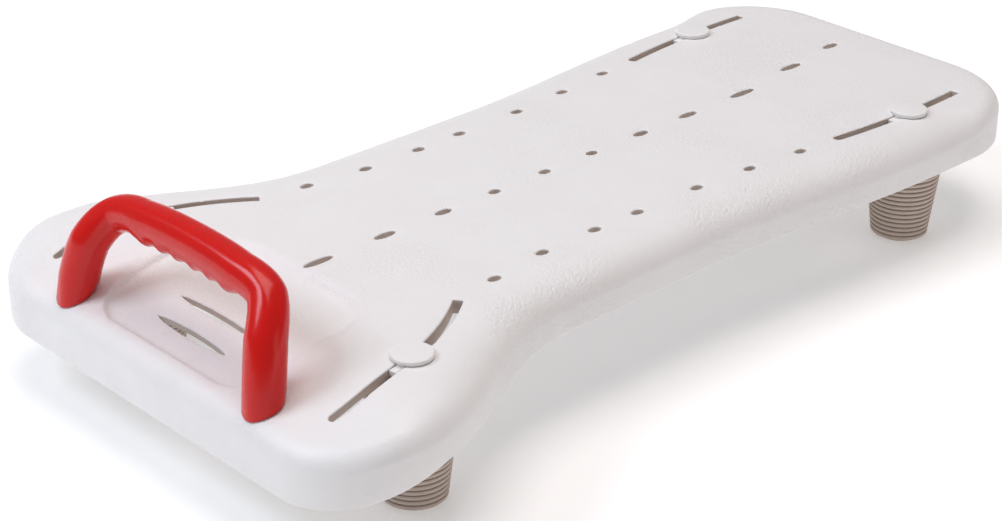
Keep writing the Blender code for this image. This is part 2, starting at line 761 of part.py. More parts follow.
def make_core(label, anchor, material):
    """The stiff part inside the rubber: a top plate, a cup, and a post whose pocket holds the nut."""
    floor = -SEAT_HEIGHT
    top = floor + FOOT_HEIGHT
    cup_top = FOOT_TOP_RADIUS - SLEEVE_THICKNESS - GAP
    cup_foot = foot_radius(SOLE_THICKNESS) - SLEEVE_THICKNESS - 2 * GAP
    bore = STUD_RADIUS + GAP
    post_end = top - NUT_DEPTH - NUT_HEIGHT - 0.002
    profile = [
        (bore, post_end),
        (CORE_POST_RADIUS, post_end),
        (CORE_POST_RADIUS, top - CORE_PLATE),
        (cup_top - CORE_WALL, top - CORE_PLATE),
        (cup_foot - CORE_WALL, floor + SOLE_THICKNESS + GAP),
        (cup_foot, floor + SOLE_THICKNESS + GAP),
        (cup_top, top - CORE_PLATE + GAP),
        (FOOT_TOP_RADIUS - 2 * GAP, top - CORE_PLATE + GAP),
        (FOOT_TOP_RADIUS - 2 * GAP, top),
        (bore, top),
    ]
    core = turned(f"foot_core_{label}", profile, 24, material, parent=anchor)
    corner = (NUT_HALF_WIDTH + GAP) / math.cos(math.pi / 6)
    ceiling = top - NUT_DEPTH + GAP
    pocket = [(0.0, ceiling), (corner, ceiling), (corner, post_end - 0.01), (0.0, post_end - 0.01)]
    boolean(core, turned(f"nut_pocket_{label}", pocket, 6, parent=anchor), "DIFFERENCE")


def make_nut(label, anchor, material):
    bm = bmesh.new()
    bore = STUD_RADIUS + GAP
    top = FOOT_HEIGHT - SEAT_HEIGHT - NUT_DEPTH
    rings = []
    for outer, z in ((True, top), (True, top - NUT_HEIGHT), (False, top - NUT_HEIGHT), (False, top)):
        ring = []
        for i in range(12):
            angle = math.pi * i / 6
            radius = bore
            if outer:
                radius = NUT_HALF_WIDTH / math.cos(math.pi / 6) if i % 2 == 0 else NUT_HALF_WIDTH
            ring.append(bm.verts.new((radius * math.cos(angle), radius * math.sin(angle), z)))
        rings.append(ring)
    bridge(bm, rings + rings[:1])
    link_mesh(f"foot_nut_{label}", bm, material, parent=anchor)


def make_corner(end, side, arc, materials):
    """One foot with its clamp, on an empty at the foot's own turning axis."""
    label = f"{end}_{'left' if side > 0 else 'right'}"
    middle = arc.angle_at(WIDE_REST if end == "wide" else NARROW_REST)
    anchor = bpy.data.objects.new(f"foot_axis_{label}", None)
    anchor.location = (*arc.point(middle), SEAT_HEIGHT)
    bpy.context.scene.collection.objects.link(anchor)
    make_cap(label, arc, middle, anchor, materials["white"])
    make_stud(label, anchor, materials["steel"])
    make_saddle(label, arc, middle, anchor, materials["core"])
    make_sleeve(label, anchor, materials["rubber"])
    make_core(label, anchor, materials["core"])
    make_nut(label, anchor, materials["steel"])


def main():
    clear_scene()
    materials = {
        "white": make_material("white_plastic", (0.82, 0.81, 0.80), 0.42),
        "red": make_material("red_plastic", (0.62, 0.012, 0.008), 0.25),
        "rubber": make_material("beige_rubber", (0.36, 0.29, 0.24), 0.75),
        "core": make_material("grey_plastic", (0.50, 0.49, 0.47), 0.5),
        "steel": make_material("plated_steel", (0.60, 0.60, 0.60), 0.3, 1.0),
        "brass": make_material("brass_insert", (0.62, 0.48, 0.22), 0.35, 1.0),
    }
    arcs = {}
    for end, slot in (("wide", WIDE_SLOT), ("narrow", NARROW_SLOT)):
        for side in (1, -1):
            arcs[(end, side)] = SlotArc(slot, side)
    make_board(arcs, materials["white"])
    make_handle(materials["red"])
    make_handle_fixings(materials)
    for (end, side), arc in arcs.items():
        make_corner(end, side, arc, materials)


main()
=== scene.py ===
"""The looks of a bath transfer bench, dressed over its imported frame.

The frame brings the solids, their places and their bodies. This script makes the pieces that show: the
moulded seat board, the grab handle, the clamp caps and the ribbed rubber feet. It gives the fittings
inside their finishes, and sets up the floor, the light and the camera.
"""

from __future__ import annotations

import json
import logging
import math
from collections.abc import Callable, Iterable, Sequence
from dataclasses import dataclass, field
from enum import Enum

import bmesh
import bpy
import numpy as np
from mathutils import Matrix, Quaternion, Vector
from mathutils.geometry import delaunay_2d_cdt

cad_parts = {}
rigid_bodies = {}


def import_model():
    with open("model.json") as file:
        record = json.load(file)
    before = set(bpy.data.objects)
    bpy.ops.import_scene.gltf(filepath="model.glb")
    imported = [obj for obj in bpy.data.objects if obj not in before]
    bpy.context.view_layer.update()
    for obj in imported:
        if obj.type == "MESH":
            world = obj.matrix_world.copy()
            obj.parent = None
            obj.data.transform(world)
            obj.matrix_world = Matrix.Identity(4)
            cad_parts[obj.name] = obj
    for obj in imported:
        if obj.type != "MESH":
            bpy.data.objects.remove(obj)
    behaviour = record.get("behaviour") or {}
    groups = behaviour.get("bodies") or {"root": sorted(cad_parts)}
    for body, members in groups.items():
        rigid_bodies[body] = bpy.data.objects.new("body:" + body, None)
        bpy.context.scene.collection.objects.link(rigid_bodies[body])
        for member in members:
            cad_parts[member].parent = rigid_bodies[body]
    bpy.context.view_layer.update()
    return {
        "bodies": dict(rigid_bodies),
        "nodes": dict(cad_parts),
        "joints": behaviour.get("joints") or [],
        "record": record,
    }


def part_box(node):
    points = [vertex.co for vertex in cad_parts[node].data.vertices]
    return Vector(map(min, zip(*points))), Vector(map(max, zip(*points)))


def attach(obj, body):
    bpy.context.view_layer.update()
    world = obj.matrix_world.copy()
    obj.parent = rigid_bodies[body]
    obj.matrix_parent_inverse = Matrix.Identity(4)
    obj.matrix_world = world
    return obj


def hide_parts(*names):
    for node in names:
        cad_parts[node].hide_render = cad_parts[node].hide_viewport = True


log = logging.getLogger("bath_bench")

Plan = tuple[float, float]
Place = tuple[float, float, float]
Loop = list[Plan]


# ---------------------------------------------------------------------------------------------------
# Node trees


class Value:
    """A node's output that can be used in sums."""

    def __init__(self, graph: Graph, socket: bpy.types.NodeSocket) -> None:
        """Keeps the socket and the graph that new Math nodes go into."""
        self.graph = graph
        self.socket = socket

    def _combine(self, operation: str, *operands: Value | float) -> Value:
        """Adds one Math node.

        Args:
            operation: The node's operation, such as "MULTIPLY".
            operands: Its inputs, in order.

        Returns:
            The node's result.
        """
        return self.graph.node("ShaderNodeMath", {"operation": operation}, dict(enumerate(operands)))

    def __add__(self, other: Value | float) -> Value:
        """self + other."""
        return self._combine("ADD", self, other)

    def __sub__(self, other: Value | float) -> Value:
        """self - other."""
        return self._combine("SUBTRACT", self, other)

    def __rsub__(self, other: float) -> Value:
        """other - self."""
        return self._combine("SUBTRACT", other, self)

    def __mul__(self, other: Value | float) -> Value:
        """self * other."""
        return self._combine("MULTIPLY", self, other)

    def __truediv__(self, other: Value | float) -> Value:
        """self / other."""
        return self._combine("DIVIDE", self, other)

    def cosine(self) -> Value:
        """The cosine of self, in radians."""
        return self._combine("COSINE", self)

    def limited(self, low: float, high: float) -> Value:
        """self, kept between two numbers."""
        return self._combine("MINIMUM", self._combine("MAXIMUM", self, low), high)


class Graph:
    """A node tree that is written as Python expressions."""

    def __init__(self, tree: bpy.types.NodeTree) -> None:
        """Keeps the tree."""
        self.tree = tree

    def node(
        self,
        kind: str,
        settings: dict | None = None,
        inputs: dict | None = None,
        output: int | str = 0,
    ) -> Value:
        """Adds a node of any kind.

        Args:
            kind: The node's type name.
            settings: Its properties, set before its sockets. "stops" fills a colour ramp.
            inputs: Values or links, by socket name or number.
            output: Which output to return.

        Returns:
            The chosen output.
        """
        node = self.tree.nodes.new(kind)
        for name, setting in (settings or {}).items():
            if name == "stops":
                self._fill_ramp(node.color_ramp, setting)
            else:
                setattr(node, name, setting)
        for key, value in (inputs or {}).items():
            self.feed(node.inputs[key], value)
        return Value(self, node.outputs[output])

    def feed(self, socket: bpy.types.NodeSocket, value: Value | object) -> None:
        """Links a value to a socket, or sets the socket to a constant."""
        if isinstance(value, Value):
            self.tree.links.new(value.socket, socket)
        else:
            socket.default_value = value

    @staticmethod
    def _fill_ramp(ramp: bpy.types.ColorRamp, stops: Sequence[tuple[float, float]]) -> None:
        """Gives a ramp its grey stops, each as (place, brightness)."""
        while len(ramp.elements) > 1:
            ramp.elements.remove(ramp.elements[-1])
        for index, (place, grey) in enumerate(stops):
            element = ramp.elements[0] if index == 0 else ramp.elements.new(place)
            element.position = place
            element.color = (grey, grey, grey, 1.0)


# ---------------------------------------------------------------------------------------------------
# Finishes

Colour = tuple[float, float, float]
COAT_ROUGHNESS = 0.12


def opaque(colour: Colour) -> tuple[float, float, float, float]:
    """The colour with a full alpha."""
    return (*colour, 1.0)


@dataclass(frozen=True)
class Finish:
    """A surface finish. Subclasses add what varies over the surface."""

    name: str
    colour: Colour
    roughness: float
    metallic: float = 0.0
    coat: float = 0.0
    gloss: float = 0.5

    def material(self) -> bpy.types.Material:
        """Makes the material.

        Returns:
            A material whose Principled shader has the finish's own values and its varying inputs.
        """
        material = bpy.data.materials.new(self.name)
        material.use_nodes = True
        graph = Graph(material.node_tree)
        shader = material.node_tree.nodes["Principled BSDF"]
        shader.inputs["Base Color"].default_value = opaque(self.colour)
        shader.inputs["Roughness"].default_value = self.roughness
        shader.inputs["Metallic"].default_value = self.metallic
        shader.inputs["Coat Weight"].default_value = self.coat
        shader.inputs["Coat Roughness"].default_value = COAT_ROUGHNESS
        shader.inputs["Specular IOR Level"].default_value = self.gloss
        place = graph.node("ShaderNodeTexCoord", output="Object")
        self.dress(graph, shader.inputs, place)
        return material

    def dress(self, graph: Graph, inputs: bpy.types.bpy_prop_collection, place: Value) -> None:
        """Links what varies over the surface.

        Args:
            graph: The material's tree.
            inputs: The shader's inputs.
            place: Object coordinates, in metres.
        """
        raise NotImplementedError

    @staticmethod
    def noise(graph: Graph, place: Value, size: float, detail: float = 2.0) -> Value:
        """Soft noise from 0 to 1 whose features are about size metres across."""
        return graph.node("ShaderNodeTexNoise", inputs={"Vector": place, "Scale": 1 / size, "Detail": detail})

    @staticmethod
    def blend(graph: Graph, share: Value, first: Colour, second: Colour) -> Value:
        """A colour between two colours."""
        return graph.node(
            "ShaderNodeMix",
            {"data_type": "RGBA"},
            {0: share, 6: opaque(first), 7: opaque(second)},
            output=2,
        )

    @staticmethod
    def bump(graph: Graph, height: Value, depth: float, strength: float = 1.0) -> Value:
        """A normal from a height that runs from 0 to 1 over depth metres."""
        return graph.node("ShaderNodeBump", inputs={"Height": height, "Distance": depth, "Strength": strength})


@dataclass(frozen=True)
class GrainedPlastic(Finish):
    """A moulded plastic with a fine pebble grain, faint mottling and rubbed patches."""

    shade: Colour = (0.7, 0.7, 0.7)
    pebble: float = 0.0021
    pebble_depth: float = 0.0007

    def dress(self, graph: Graph, inputs: bpy.types.bpy_prop_collection, place: Value) -> None:
        """Links colour, roughness and grain."""
        cells = graph.node(
            "ShaderNodeTexVoronoi",
            {"feature": "SMOOTH_F1"},
            {"Vector": place, "Scale": 1 / self.pebble, "Smoothness": 0.7},
        )
        fine = self.noise(graph, place, self.pebble * 0.6, 3.0)
        patches = self.noise(graph, place, 0.11, 3.0)
        rubbed = ((patches - 0.42) * 5.0).limited(0.25, 1.0)
        grain = ((1.0 - cells) * 0.7 + fine * 0.5) * rubbed
        mottle = self.noise(graph, place, 0.035, 4.0)
        share = ((mottle - 0.35) * 1.6 + cells * 0.12).limited(0.0, 1.0)
        graph.feed(inputs["Base Color"], self.blend(graph, share, self.colour, self.shade))
        graph.feed(inputs["Roughness"], (mottle - 0.5) * 0.16 + fine * 0.06 + self.roughness)
        graph.feed(inputs["Normal"], self.bump(graph, grain, self.pebble_depth))


@dataclass(frozen=True)
class GlossPlastic(Finish):
    """A smooth glossy plastic with a slight orange-peel wave and hairline handling marks."""

    deep: Colour = (0.4, 0.0, 0.0)
    wave: float = 0.006
    wave_depth: float = 0.00016

    def dress(self, graph: Graph, inputs: bpy.types.bpy_prop_collection, place: Value) -> None:
        """Links colour, roughness, coat and the wave."""
        mottle = self.noise(graph, place, 0.02, 3.0)
        wave = self.noise(graph, place, self.wave, 1.0)
        stretched = graph.node("ShaderNodeMapping", inputs={"Vector": place, "Scale": (1.0, 0.08, 1.0)})
        scratches = self.noise(graph, stretched, 0.0004, 1.0)
        marks = ((scratches - 0.62) * 6.0).limited(0.0, 1.0)
        graph.feed(inputs["Base Color"], self.blend(graph, mottle, self.colour, self.deep))
        graph.feed(inputs["Roughness"], (mottle - 0.5) * 0.10 + marks * 0.10 + self.roughness)
        graph.feed(inputs["Normal"], self.bump(graph, wave + marks * 0.04, self.wave_depth, 0.5))


@dataclass(frozen=True)
class RibbedRubber(Finish):
    """A matt rubber with painted shade darkening it down in its grooves, and dusty on its ribs."""

    # Painted shade: the darker colour that the grooves between the ribs are painted with.
    groove: Colour = (0.1, 0.08, 0.07)
    pitch: float = 0.0037
    first: float = 0.0

    def dress(self, graph: Graph, inputs: bpy.types.bpy_prop_collection, place: Value) -> None:
        """Links colour with painted shade in the grooves, roughness and a fine tooth."""
        height = graph.node("ShaderNodeSeparateXYZ", inputs={"Vector": place}, output="Z")
        # Painted shade: a mask that is 0 on the ribs and rises to 1 down in the grooves between them.
        phase = ((height - self.first) * (2 * math.pi / self.pitch)).cosine()
        depth = ((0.25 - phase * 0.9) * 1.1).limited(0.0, 1.0)
        dust = self.noise(graph, place, 0.007, 4.0)
        # The colour mixes the painted groove shade with dust that varies at random.
        share = (depth * 0.85 + (dust - 0.5) * 0.35).limited(0.0, 1.0)
        tooth = self.noise(graph, place, 0.0004, 3.0)
        graph.feed(inputs["Base Color"], self.blend(graph, share, self.colour, self.groove))
        graph.feed(inputs["Roughness"], (dust - 0.5) * 0.2 + self.roughness)
        graph.feed(inputs["Normal"], self.bump(graph, tooth, 0.00007))


@dataclass(frozen=True)
class PlatedMetal(Finish):
    """A plated or turned metal with fine turning marks and clouded plating."""

    cloud: Colour = (0.4, 0.4, 0.4)
    turning: float = 0.00035
    turning_depth: float = 0.00002

    def dress(self, graph: Graph, inputs: bpy.types.bpy_prop_collection, place: Value) -> None:
        """Links colour, roughness and the marks of the lathe."""
        clouds = self.noise(graph, place, 0.004, 4.0)
        height = graph.node("ShaderNodeSeparateXYZ", inputs={"Vector": place}, output="Z")
        rings = (height * (2 * math.pi / self.turning)).cosine() * 0.5 + 0.5
        pits = self.noise(graph, place, 0.0005, 2.0)
        graph.feed(inputs["Base Color"], self.blend(graph, clouds, self.colour, self.cloud))
        graph.feed(inputs["Roughness"], (clouds - 0.5) * 0.3 + self.roughness)
        graph.feed(inputs["Normal"], self.bump(graph, rings + pits * 0.5, self.turning_depth))


@dataclass(frozen=True)
class Finishes:
    """Every finish of the bench, ready as materials, with the painted shade for the walls of the openings among them.
    """

    board: bpy.types.Material
    # Painted shade: the material for the walls of the openings, darker and warmer than the board to stand for the
    # shade inside them.
    opening: bpy.types.Material
    cap: bpy.types.Material
    handle: bpy.types.Material
    rubber: bpy.types.Material
    core: bpy.types.Material
    steel: bpy.types.Material
    thread: bpy.types.Material
    brass: bpy.types.Material

    @classmethod
    def mixed(cls, rib_pitch: float, rib_start: float) -> Finishes:
        """Makes all the materials.

        Args:
            rib_pitch: Distance between two ribs of a foot.
            rib_start: Height of the lowest rib.

        Returns:
            The finishes.
        """
        white, white_shade = (0.84, 0.825, 0.82), (0.80, 0.775, 0.765)
        steel, cloud = (0.62, 0.62, 0.60), (0.45, 0.45, 0.46)
        return cls(
            board=GrainedPlastic("board_white", white, 0.40, shade=white_shade).material(),
            # Painted shade: the walls of the openings and the inner faces of the slot rails get this darker, warmer
            # brown, which stands for the shade down inside the openings.
            opening=GrainedPlastic(
                "board_openings", (0.62, 0.53, 0.47), 0.55, shade=(0.52, 0.43, 0.37), pebble=0.0008
            ).material(),
            cap=GrainedPlastic(
                "cap_white", (0.85, 0.84, 0.83), 0.36, shade=white_shade, pebble=0.0007, pebble_depth=0.00003
            ).material(),
            handle=GlossPlastic(
                "handle_red", (0.66, 0.008, 0.005), 0.22, coat=0.08, gloss=0.3, deep=(0.58, 0.005, 0.003)
            ).material(),
            # The groove colour is painted shade for the grooves between the ribs of the feet.
            rubber=RibbedRubber(
                "foot_rubber", (0.60, 0.50, 0.43), 0.72, groove=(0.34, 0.27, 0.225), pitch=rib_pitch, first=rib_start
            ).material(),
            core=GrainedPlastic(
                "core_grey", (0.52, 0.50, 0.47), 0.5, shade=(0.44, 0.42, 0.39), pebble=0.0008
            ).material(),
            steel=PlatedMetal("zinc_plate", steel, 0.32, metallic=1.0, cloud=cloud).material(),
            thread=PlatedMetal(
                "rolled_thread", steel, 0.35, metallic=1.0, cloud=cloud, turning=0.001, turning_depth=0.0003
            ).material(),
            brass=PlatedMetal(
                "turned_brass", (0.66, 0.49, 0.22), 0.3, metallic=1.0, cloud=(0.5, 0.34, 0.14)
            ).material(),
        )


# ---------------------------------------------------------------------------------------------------
# Mesh work

MERGE_DISTANCE = 0.000002


@dataclass
class Shape:
    """Vertices and faces that become one mesh. Faces noted in second get the second material."""

    points: list[Place] = field(default_factory=list)
    faces: list[tuple[int, ...]] = field(default_factory=list)
    second: set[int] = field(default_factory=set)

    def ring(self, points: Iterable[Sequence[float]]) -> list[int]:
        """Adds points and returns their numbers."""
        start = len(self.points)
        self.points += [tuple(point) for point in points]
        return list(range(start, len(self.points)))

    def bridge(self, first: Sequence[int], second: Sequence[int]) -> None:
        """Joins two rings of the same length with quads."""
        count = len(first)
        for i in range(count):
            j = (i + 1) % count
            self.faces.append((first[i], first[j], second[j], second[i]))

    def loft(self, rings: Sequence[Sequence[int]], closed: bool = False) -> None:
        """Joins each ring to the next, and the last to the first if closed."""
        for first, second in zip(rings, rings[1:]):
            self.bridge(first, second)
        if closed:
            self.bridge(rings[-1], rings[0])

    def fan(self, ring: Sequence[int], centre: Sequence[float]) -> None:
        """Closes a ring with triangles to a centre point."""
        (middle,) = self.ring([centre])
        count = len(ring)
        for i in range(count):
            self.faces.append((ring[i], ring[(i + 1) % count], middle))

    def turned(self, profile: Sequence[tuple[float, float]], centre: Plan, segments: int) -> None:
        """Adds a solid turned about a vertical line.

        Args:
            profile: (radius, z) from one end to the other, with both ends on the axis.
            centre: Where the line stands in plan.
            segments: Sides of the solid.
        """
        turns = [2 * math.pi * i / segments for i in range(segments)]
        rings = [
            self.ring((centre[0] + r * math.cos(t), centre[1] + r * math.sin(t), z) for t in turns)
            for r, z in profile
            if r > 0
        ]
        self.loft(rings)
        for ring, (_, z) in ((rings[0], profile[0]), (rings[-1], profile[-1])):
            self.fan(ring, (*centre, z))

    def made(self, name: str, material: bpy.types.Material | None, sharp: float = 40.0) -> bpy.types.Object:
        """Turns the shape into an object at the origin, with its faces pointing outwards.

        Args:
            name: The object's name.
            material: Its material, if it has one yet.
            sharp: Edges over this angle, in degrees, are shaded sharp.

        Returns:
            The linked object.
        """
        mesh = bpy.data.meshes.new(name)
        mesh.from_pydata(self.points, [], self.faces)
        mesh.polygons.foreach_set("material_index", [int(i in self.second) for i in range(len(self.faces))])
        tidy_mesh(mesh)
        mesh.shade_smooth()
        mesh.set_sharp_from_angle(angle=math.radians(sharp))
        if material:
            mesh.materials.append(material)
        obj = bpy.data.objects.new(name, mesh)
        bpy.context.scene.collection.objects.link(obj)
        return obj


def tidy_mesh(mesh: bpy.types.Mesh) -> None:
    """Merges doubled points and turns every face outwards."""
    bm = bmesh.new()
    bm.from_mesh(mesh)
    bmesh.ops.remove_doubles(bm, verts=bm.verts, dist=MERGE_DISTANCE)
    bmesh.ops.recalc_face_normals(bm, faces=bm.faces)
    bm.to_mesh(mesh)
    bm.free()


def ease(t: float) -> float:
    """Rises from 0 to 1 with level ends."""
    t = min(max(t, 0.0), 1.0)
    return t * t * t * (10 - 15 * t + 6 * t * t)


def smooth_path(knots: Sequence[Vector], steps: int) -> list[Vector]:
    """A smooth curve through points, spaced by the square root of their distances.

    Args:
        knots: The points, of which the first and last only steer the ends.
        steps: Points for each stretch.

    Returns:
        Points from the second knot to the last but one.
    """
    path = []
    for group in zip(knots, knots[1:], knots[2:], knots[3:]):
        times = [0.0]
        for before, after in zip(group, group[1:]):
            times.append(times[-1] + math.sqrt((after - before).length))
        for i in range(steps):
            t = times[1] + (times[2] - times[1]) * i / steps
            level = list(group)
            spans = list(times)
            for reach in (1, 2, 3):
                level = [
                    level[k].lerp(level[k + 1], (t - spans[k]) / (spans[k + reach] - spans[k]))
                    for k in range(len(level) - 1)
                ]
            path.append(level[0])
    return path + [knots[-2]]


# ---------------------------------------------------------------------------------------------------
# Plan outlines


def outward_normals(loop: Sequence[Plan]) -> list[Vector]:
    """Unit normals of a closed loop, pointing away from its inside."""
    area = sum(a[0] * b[1] - b[0] * a[1] for a, b in zip(loop, [*loop[1:], loop[0]]))
    turn = 1.0 if area > 0 else -1.0
    normals = []
    for i, _ in enumerate(loop):
        before, after = loop[i - 1], loop[(i + 1) % len(loop)]
        along = Vector((after[0] - before[0], after[1] - before[1])).normalized()
        normals.append(Vector((along.y, -along.x)) * turn)
    return normals


def grown(loop: Sequence[Plan], distance: float) -> Loop:
    """The loop moved outwards by a distance."""
    normals = outward_normals(loop)
    return [(x + n.x * distance, y + n.y * distance) for (x, y), n in zip(loop, normals)]


def oval(x: float, y: float, half_x: float, half_y: float, count: int) -> Loop:
    """An oval in plan."""
    turns = [2 * math.pi * i / count for i in range(count)]
    return [(x + half_x * math.cos(t), y + half_y * math.sin(t)) for t in turns]


def lens(x: float, half_length: float, half_width: float, count: int) -> Loop:
    """A pointed oval that lies across the board."""
    loop = []
    for i in range(count):
        t = 2 * math.pi * (i + 0.5) / count
        loop.append((x + half_width * math.sin(t) * abs(math.sin(t)) ** 0.4, half_length * math.cos(t)))
    return loop


def inside(points: np.ndarray, loop: Sequence[Plan]) -> np.ndarray:
    """Which points lie inside a loop.

    Args:
        points: An array of (x, y) rows.
        loop: The closed outline.

    Returns:
        One True or False for each row.
    """
    odd = np.zeros(len(points), bool)
    x, y = points[:, 0], points[:, 1]
    for (ax, ay), (bx, by) in zip(loop, [*loop[1:], loop[0]]):
        if ay == by:
            continue
        crosses = ((ay > y) != (by > y)) & (x < (bx - ax) * (y - ay) / (by - ay) + ax)
        odd ^= crosses
    return odd


@dataclass(frozen=True)
class SlotArc:
    """The arc that a foot's slot follows."""

    inner: Plan
    outer: Plan
    bow: float
    side: int

    @property
    def chord(self) -> float:
        """Straight distance between the ends."""
        return math.dist(self.inner, self.outer)

    @property
    def radius(self) -> float:
        """Radius of the arc."""
        return self.chord**2 / (8 * self.bow) + self.bow / 2

    @property
    def centre(self) -> Plan:
        """Centre of the arc."""
        (ax, ay), (bx, by) = self.inner, self.outer
        normal = Vector((-(by - ay), bx - ax)).normalized()
        if normal.y < 0:
            normal = -normal
        reach = self.radius - self.bow
        return ((ax + bx) / 2 - normal.x * reach, self.side * ((ay + by) / 2 - normal.y * reach))

    def angle(self, share: float) -> float:
        """Direction from the centre to a place along the slot, from its inner end at 0 to its outer at 1."""
        cx, cy = self.centre
        ends = [math.atan2(self.side * y - cy, x - cx) for x, y in (self.inner, self.outer)]
        return ends[0] + (ends[1] - ends[0]) * share

    def at(self, angle: float, offset: float = 0.0) -> Plan:
        """The point at an angle, moved away from the centre by offset."""
        cx, cy = self.centre
        radius = self.radius + offset
        return (cx + radius * math.cos(angle), cy + radius * math.sin(angle))

    def strip(self, start: float, end: float, half: float, steps: int, round_start: bool, round_end: bool) -> Loop:
        """Outline of a curved strip.

        Args:
            start: Angle of its first end.
            end: Angle of its last end.
            half: Half of its width.
            steps: Points along each side.
            round_start: Whether the first end is round and not square.
            round_end: Whether the last end is round and not square.

        Returns:
            The closed outline.
        """
        sense = 1.0 if end > start else -1.0
        shares = [i / steps for i in range(steps + 1)]

        def cap(angle: float, way: float, rounded: bool) -> Loop:
            """Points across one end, from the outer side to the inner side."""
            points = []
            for i in range(1, 12):
                turn = math.pi * i / 12
                across, bulge = math.cos(turn), math.sin(turn) * half
                if not rounded:
                    across = math.copysign(abs(across) ** 0.4, across)
                    bulge = math.sin(turn) ** 0.4 * half * 0.4
                points.append(self.at(angle + way * sense * bulge / self.radius, half * across))
            return points

        loop = [self.at(start + (end - start) * s, half) for s in shares]
        loop += cap(end, 1.0, round_end)
        loop += [self.at(end + (start - end) * s, -half) for s in shares]
        loop += cap(start, -1.0, round_start)[::-1]
        return loop


class End(Enum):
    """An end of the board."""

    WIDE = "wide"
    NARROW = "narrow"


class Side(Enum):
    """A side of the board. Left is +Y."""

    LEFT = 1
    RIGHT = -1


@dataclass(frozen=True)
class Corner:
    """One of the four places where a foot stands."""

    end: End
    side: Side

    @property
    def name(self) -> str:
        """The corner's part of a node's name."""
        return f"{self.end.value}_{self.side.name.lower()}"

    @property
    def place(self) -> Plan:
        """Where the foot's axis stands in plan."""
        low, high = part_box(f"clamp_stud_{self.name}")
        return ((low.x + high.x) / 2, (low.y + high.y) / 2)


CORNERS = [Corner(end, side) for end in End for side in Side]


# ---------------------------------------------------------------------------------------------------
# The seat board


